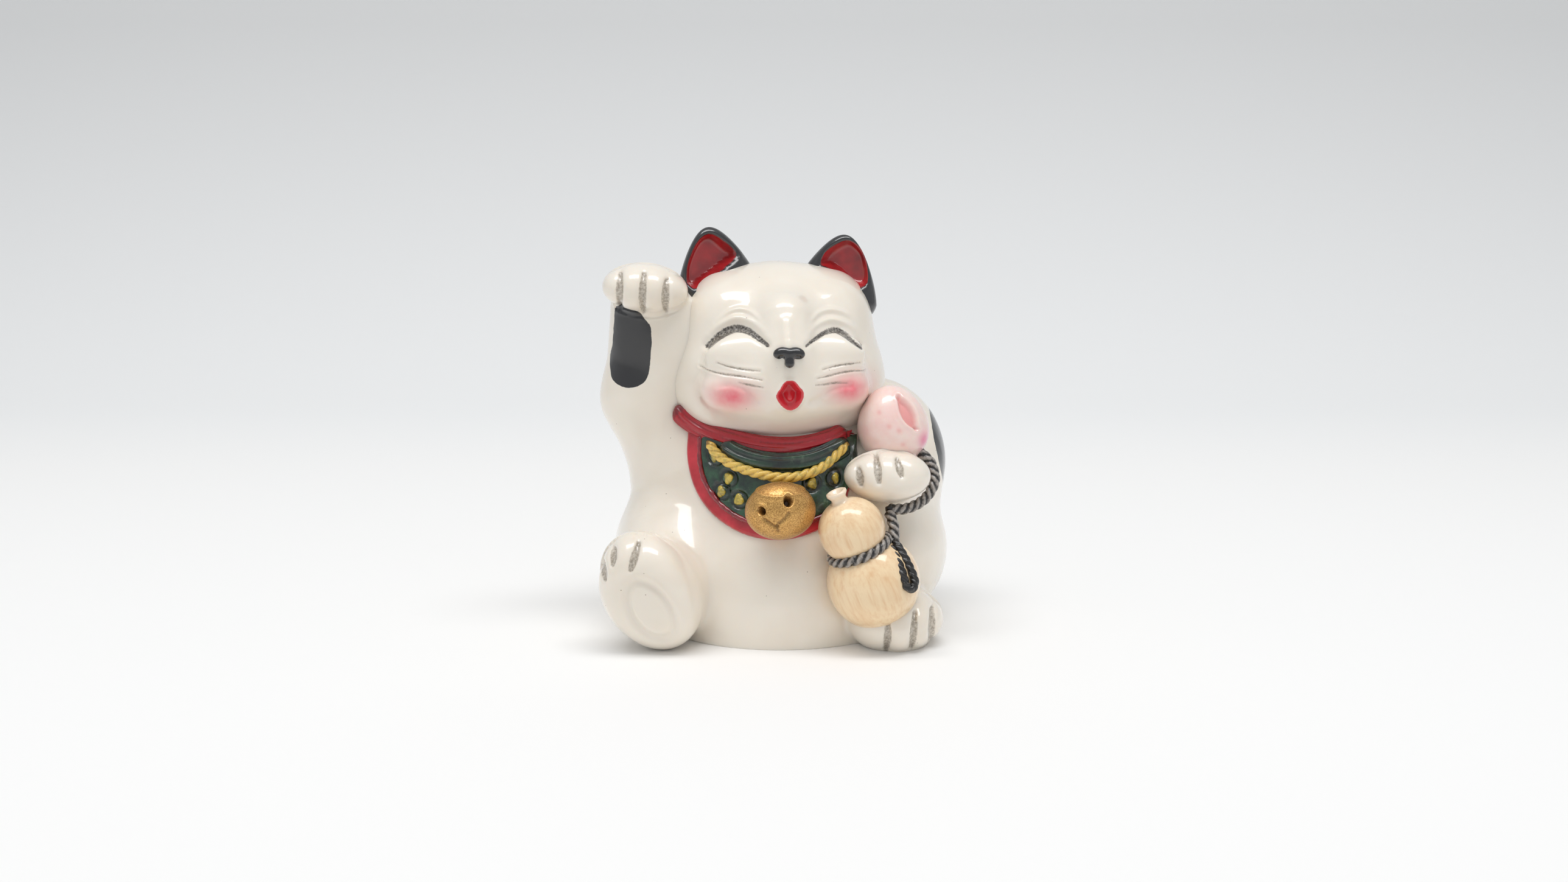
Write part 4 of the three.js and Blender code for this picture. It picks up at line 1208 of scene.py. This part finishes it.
class CAT_OT_bell(bpy.types.Operator):
    """Models the round bell with its two holes and the slit between them"""

    bl_idname = "cat.bell"
    bl_label = "Bell"

    def execute(self, context):
        arc = np.linspace(-math.pi / 2, math.pi / 2, 40)
        bell = lathed("bell", [(math.cos(a), math.sin(a)) for a in arc], 128)
        points = places(bell)
        flat = points[:, [0, 2]] * (BELL["radii"][0], BELL["radii"][2])
        front = points[:, 1] < 0
        lift = 0.035 * np.exp(-(((points[:, 2] - 0.74) / 0.035) ** 2))
        # hollow is painted shade: dark in the shallow pits of the holes and along the slits
        hollow = np.zeros(len(points))
        for x, z, radius in BELL_HOLES:
            away = np.hypot(flat[:, 0] - x, flat[:, 1] - z)
            pit = smoothed(radius - away, -0.12, 0.22)
            lift -= np.where(front, 0.3 * pit, 0)
            lift += np.where(front, 0.03 * np.exp(-(((away - radius - 0.22) / 0.2) ** 2)), 0)
            hollow = np.maximum(hollow, np.where(front, pit, 0))
        for line in BELL_SLITS:
            away = from_line(flat, line)[0]
            lift -= np.where(front, 0.06 * np.exp(-((away / 0.2) ** 2)), 0)
            lift += np.where(front, 0.022 * np.exp(-(((away - 0.42) / 0.16) ** 2)), 0)
            hollow = np.maximum(hollow, np.where(front, 0.6 * np.exp(-((away / 0.16) ** 2)), 0))
        points = points * (1 + lift)[:, None] * BELL["radii"]
        place(bell, moved(points, BELL["at"], BELL["turn"]))
        mark(bell, "hollow", hollow)
        finished(bell, "bell", bell_gold(context.scene.cat_colours))
        return {"FINISHED"}


# Peach, gourd and rope


PEACH = {"at": (17.1, -10, 29.6), "turn": (4, -8, 0)}
CLEFT = [(17.6, 34.6), (18.7, 32.8), (20.1, 30.3)]
PEACH_SPOTS = [(16.2, 30.8, 0.35), (17.6, 30.2, 0.3), (18.2, 28.2, 0.3), (14.9, 32.6, 0.3)]


class CAT_OT_peach(bpy.types.Operator):
    """Models the peach with its point and its cleft"""

    bl_idname = "cat.peach"
    bl_label = "Peach"

    def execute(self, context):
        angles = np.linspace(0, math.pi, 40)
        tip = ((1 - np.cos(angles)) / 2) ** 4 * 1.1
        profile = list(zip(5.1 * np.sin(angles), tip - 5.2 * np.cos(angles)))
        peach = lathed("peach", profile, 120)
        points = moved(places(peach), PEACH["at"], PEACH["turn"])
        flat = points[:, [0, 2]]
        front = points[:, 1] < PEACH["at"][1] + 0.5
        away, share = from_line(flat, CLEFT)
        width = 0.95 * np.sin(math.pi * np.clip(share, 0.06, 0.94)) ** 0.7
        cleft = np.where(front, smoothed(width - away, -0.15, 0.3), 0)
        outward = points - np.array(PEACH["at"])
        outward /= np.linalg.norm(outward, axis=1)[:, None]
        lip = np.where(front, np.exp(-(((away - width - 0.25) / 0.25) ** 2)), 0)
        place(peach, points + outward * (0.12 * lip - 0.75 * cleft)[:, None])
        pink = 0.85 * cleft
        for x, z, radius in PEACH_SPOTS:
            spot = np.exp(-(((flat[:, 0] - x) ** 2 + (flat[:, 1] - z) ** 2) / radius**2))
            pink = np.maximum(pink, np.where(front, 0.5 * spot, 0))
        edge = np.exp(-(((flat[:, 0] - 21.4) / 0.9) ** 2) - ((flat[:, 1] - 28.4) / 1.3) ** 2)
        mark(peach, "pink", pink)
        mark(peach, "magenta", np.where(points[:, 1] < PEACH["at"][1] + 1.5, edge, 0))
        finished(peach, "peach", peach_paint(context.scene.cat_colours))
        return {"FINISHED"}


GOURD_AT = np.array([14, -19, 9.6])
GOURD_AXIS = Vector((-3.1, -0.9, 7.6)).normalized()
LOWER, UPPER, WAIST, BETWEEN = 6.5, 4.65, 3.4, 8.2


def gourd_profile():
    low, high = math.asin(WAIST / LOWER), math.asin(WAIST / UPPER)

    def arc(radius, centre, start, end, count):
        return [(radius * math.sin(a), centre - radius * math.cos(a)) for a in np.linspace(start, end, count)]

    stem = BETWEEN + UPPER
    return [
        *arc(LOWER, 0, 0, math.pi - low, 16),
        *arc(UPPER, BETWEEN, high, math.pi - 0.27, 12),
        (1.1, stem + 0.1), (1.12, stem + 0.5), (1.45, stem + 0.95), (1.5, stem + 1.25), (1.2, stem + 1.42),
        (0.8, stem + 1.25), (0.55, stem + 0.9), (0, stem + 0.8),
    ]  # fmt: skip


class CAT_OT_gourd(bpy.types.Operator):
    """Models the gourd with its two bulbs and its stem"""

    bl_idname = "cat.gourd"
    bl_label = "Gourd"

    def execute(self, context):
        gourd = lathed("gourd", gourd_profile(), 120)
        points = places(gourd)
        grain = gourd.data.attributes.new("along", "FLOAT_VECTOR", "POINT")
        grain.data.foreach_set("vector", points.astype(np.float32).ravel())
        mark(gourd, "pale", 0.8 * smoothed(points[:, 2], BETWEEN + UPPER - 0.6, BETWEEN + UPPER + 0.2))
        angle = np.arctan2(points[:, 1], points[:, 0])
        swell = 1 + 0.006 * np.sin(5 * angle + 1) + 0.004 * np.sin(9 * angle)
        points[:, :2] *= swell[:, None]
        turn = np.array(Vector((0, 0, 1)).rotation_difference(GOURD_AXIS).to_matrix())
        place(gourd, points @ turn.T + GOURD_AT)
        finished(gourd, "gourd", gourd_paint(context.scene.cat_colours))
        return {"FINISHED"}


GRIP = [
    (20.0, -10.6, 26.9), (21.2, -11.5, 26.2), (22.4, -12, 24.9), (22.8, -13, 22.6), (21.4, -14.2, 20.4),
    (18.8, -15.6, 19.3), (15.8, -16.6, 19.4),
]  # fmt: skip
DROP = [(16.2, -16.8, 19.2), (16.8, -18.2, 17.2), (16.8, -19.6, 15.0)]
LOOP = [
    (16.6, -19.4, 15.6), (17.4, -21.0, 14.8), (18.6, -22.4, 12.8), (19.4, -23.2, 10.8), (19.0, -23.8, 9.9),
    (18.2, -24.0, 10.4), (17.6, -23.4, 12.2), (16.8, -21.8, 14.0), (16.2, -20.4, 15.2),
]  # fmt: skip


class CAT_OT_rope(bpy.types.Operator):
    """Models the rope round the gourd's waist, its loop and the end that the paw holds"""

    bl_idname = "cat.rope"
    bl_label = "Rope"

    def execute(self, context):
        sizes, colours = context.scene.cat_sizes, context.scene.cat_colours
        axis = np.array(GOURD_AXIS)
        side = np.cross((0, 1, 0), axis)
        side /= np.linalg.norm(side)
        front = np.cross(side, axis)
        waist = GOURD_AT + axis * BETWEEN * 0.65
        angles = np.radians(np.arange(-20, 210, 15))
        ring = [waist + (side * math.cos(a) + front * math.sin(a)) * (WAIST + sizes.rope * 0.75) for a in angles]
        section = strands(sizes.rope, 3, 3.6)
        slim = strands(sizes.rope * 0.82, 3, 3.2)
        parts = [
            swept("waist", ring, section, 0.14, 36, axis),
            swept("grip", GRIP, section, 0.14, 36, (0, -1, 0)),
            swept("drop", DROP, section, 0.14, 36, (1, 0, 0)),
            swept("loop", LOOP, slim, 0.14, 36, (0.3, -1, 0)),
        ]
        # Grey on the high strands is a painted highlight, and near black in the grooves is painted shade
        paint = rope_paint("rope_paint", colours.rope, colours.rope_dark, colours, 0.1)
        finished(joined(parts), "rope", paint)
        return {"FINISHED"}


class CAT_OT_tail(bpy.types.Operator):
    """Models the short black tail, curled against the back"""

    bl_idname = "cat.tail"
    bl_label = "Tail"

    def execute(self, context):
        points = [(0, 11.5, 4), (4, 14, 3.6), (9, 14.6, 4.4), (13, 12.8, 7.6), (14.4, 11.4, 12)]

        def tapering(angle, along, share):
            tip = np.sqrt(np.clip((1 - share) * 9, 0.02, 1))
            return ((2.8 - 0.8 * share**2) * tip,) * 2

        tail = swept("tail", points, tapering, 0.35, 40, (0, 1, 0))
        finished(tail, "tail", bpy.data.materials["black_enamel"])
        return {"FINISHED"}


# Stage: sweep, lights and camera


class CAT_OT_stage(bpy.types.Operator):
    """Sets the pale sweep, the soft lights and the camera"""

    bl_idname = "cat.stage"
    bl_label = "Stage"

    def execute(self, context):
        self.sweep()
        self.lights(context)
        self.camera(context)
        return {"FINISHED"}

    def sweep(self):
        far, rise, bend = 0.2, 1.1, 0.25
        run = [(-1.2, 0.0), (far, 0.0)]
        arc = np.linspace(0, math.pi / 2, 24)
        run += [(far + bend * math.sin(a), bend - bend * math.cos(a)) for a in arc[1:]]
        run.append((far + bend, rise))
        vertices = [(x, y, z) for y, z in run for x in (-1.6, 1.6)]
        faces = [(2 * n, 2 * n + 1, 2 * n + 3, 2 * n + 2) for n in range(len(run) - 1)]
        sweep = mesh_piece("sweep", vertices, faces)
        only(sweep)
        bpy.ops.object.shade_smooth()
        material = bpy.data.materials.new("sweep_paper")
        material.use_nodes = True
        tree = material.node_tree
        shader = tree.nodes["Principled BSDF"]
        shader.inputs["Roughness"].default_value = 0.85
        shader.inputs["Specular IOR Level"].default_value = 0.2
        at = add(tree, "ShaderNodeSeparateXYZ", {0: add(tree, "ShaderNodeTexCoord").outputs["Object"]})
        # Painted shade: the wall darkens from near white at its foot to grey 11 cm up, while the floor stays near
        # white
        wall = mixed(tree, ramp(tree, at.outputs[2], 0.0, 0.11), linear("#f6f6f5"), linear("#dcdcdb"))
        tone = mixed(tree, ramp(tree, at.outputs[1], 0.12, 0.19), linear("#f8f7f5"), wall)
        tree.links.new(tone, shader.inputs["Base Color"])
        sweep.data.materials.append(material)

    def lights(self, context):
        world = bpy.data.worlds.new("studio")
        world.use_nodes = True
        sky = world.node_tree.nodes["Background"]
        sky.inputs[0].default_value = linear("#eef1f5")
        sky.inputs[1].default_value = 0.64
        context.scene.world = world
        self.softbox(context, "top_box", (0.0, -0.1, 0.55), (0.0, -0.004, 0.03), (0.6, 0.16), 1.9)

    def softbox(self, context, name, at, to, spread, power):
        light = bpy.data.lights.new(name, "AREA")
        light.shape, light.size, light.size_y, light.energy = "RECTANGLE", spread[0], spread[1], power
        lamp = bpy.data.objects.new(name, light)
        lamp.location = at
        lamp.rotation_euler = (Vector(to) - Vector(at)).to_track_quat("-Z", "Y").to_euler()
        lamp.visible_camera = False
        context.scene.collection.objects.link(lamp)

    def camera(self, context):
        photo_width, focal = 2576, 2889  # the focal length is in the photo's own pixels
        data = bpy.data.cameras.new("photo_camera")
        data.sensor_width = 36
        data.lens = data.sensor_width * focal / photo_width
        data.clip_start = 0.01
        camera = bpy.data.objects.new("photo_camera", data)
        target = (Vector((1.6, 0, 26.1)) - MIDDLE) * MM
        back = Vector((0, -math.cos(math.radians(10)), math.sin(math.radians(10))))
        camera.location = target + back * 0.26
        camera.rotation_euler = (-back).to_track_quat("-Z", "Y").to_euler()
        context.scene.collection.objects.link(camera)
        context.scene.camera = camera
        context.scene.view_settings.view_transform = "Standard"


class CAT_PT_panel(bpy.types.Panel):
    """Lists the sizes, the colours and the pieces in the sidebar"""

    bl_label = "Lucky Cat"
    bl_idname = "CAT_PT_panel"
    bl_space_type = "VIEW_3D"
    bl_region_type = "UI"
    bl_category = "Lucky Cat"

    def draw(self, context):
        layout = self.layout
        for group in (context.scene.cat_sizes, context.scene.cat_colours):
            box = layout.box()
            for name in group.__annotations__:
                box.prop(group, name)
        for operator in OPERATORS:
            layout.operator(operator.bl_idname)


OPERATORS = (
    CAT_OT_stage,
    CAT_OT_body,
    CAT_OT_head,
    CAT_OT_nose,
    CAT_OT_ears,
    CAT_OT_collar,
    CAT_OT_bib,
    CAT_OT_cord,
    CAT_OT_bell,
    CAT_OT_peach,
    CAT_OT_gourd,
    CAT_OT_rope,
    CAT_OT_tail,
)
CLASSES = (CatSizes, CatColours, *OPERATORS, CAT_PT_panel)


def register():
    for cls in CLASSES:
        bpy.utils.register_class(cls)
    bpy.types.Scene.cat_sizes = PointerProperty(type=CatSizes)
    bpy.types.Scene.cat_colours = PointerProperty(type=CatColours)


def unregister():
    del bpy.types.Scene.cat_colours
    del bpy.types.Scene.cat_sizes
    for cls in reversed(CLASSES):
        bpy.utils.unregister_class(cls)


def main():
    register()
    for operator in OPERATORS:
        group, name = operator.bl_idname.split(".")
        getattr(getattr(bpy.ops, group), name)()


if __name__ == "__main__":
    main()
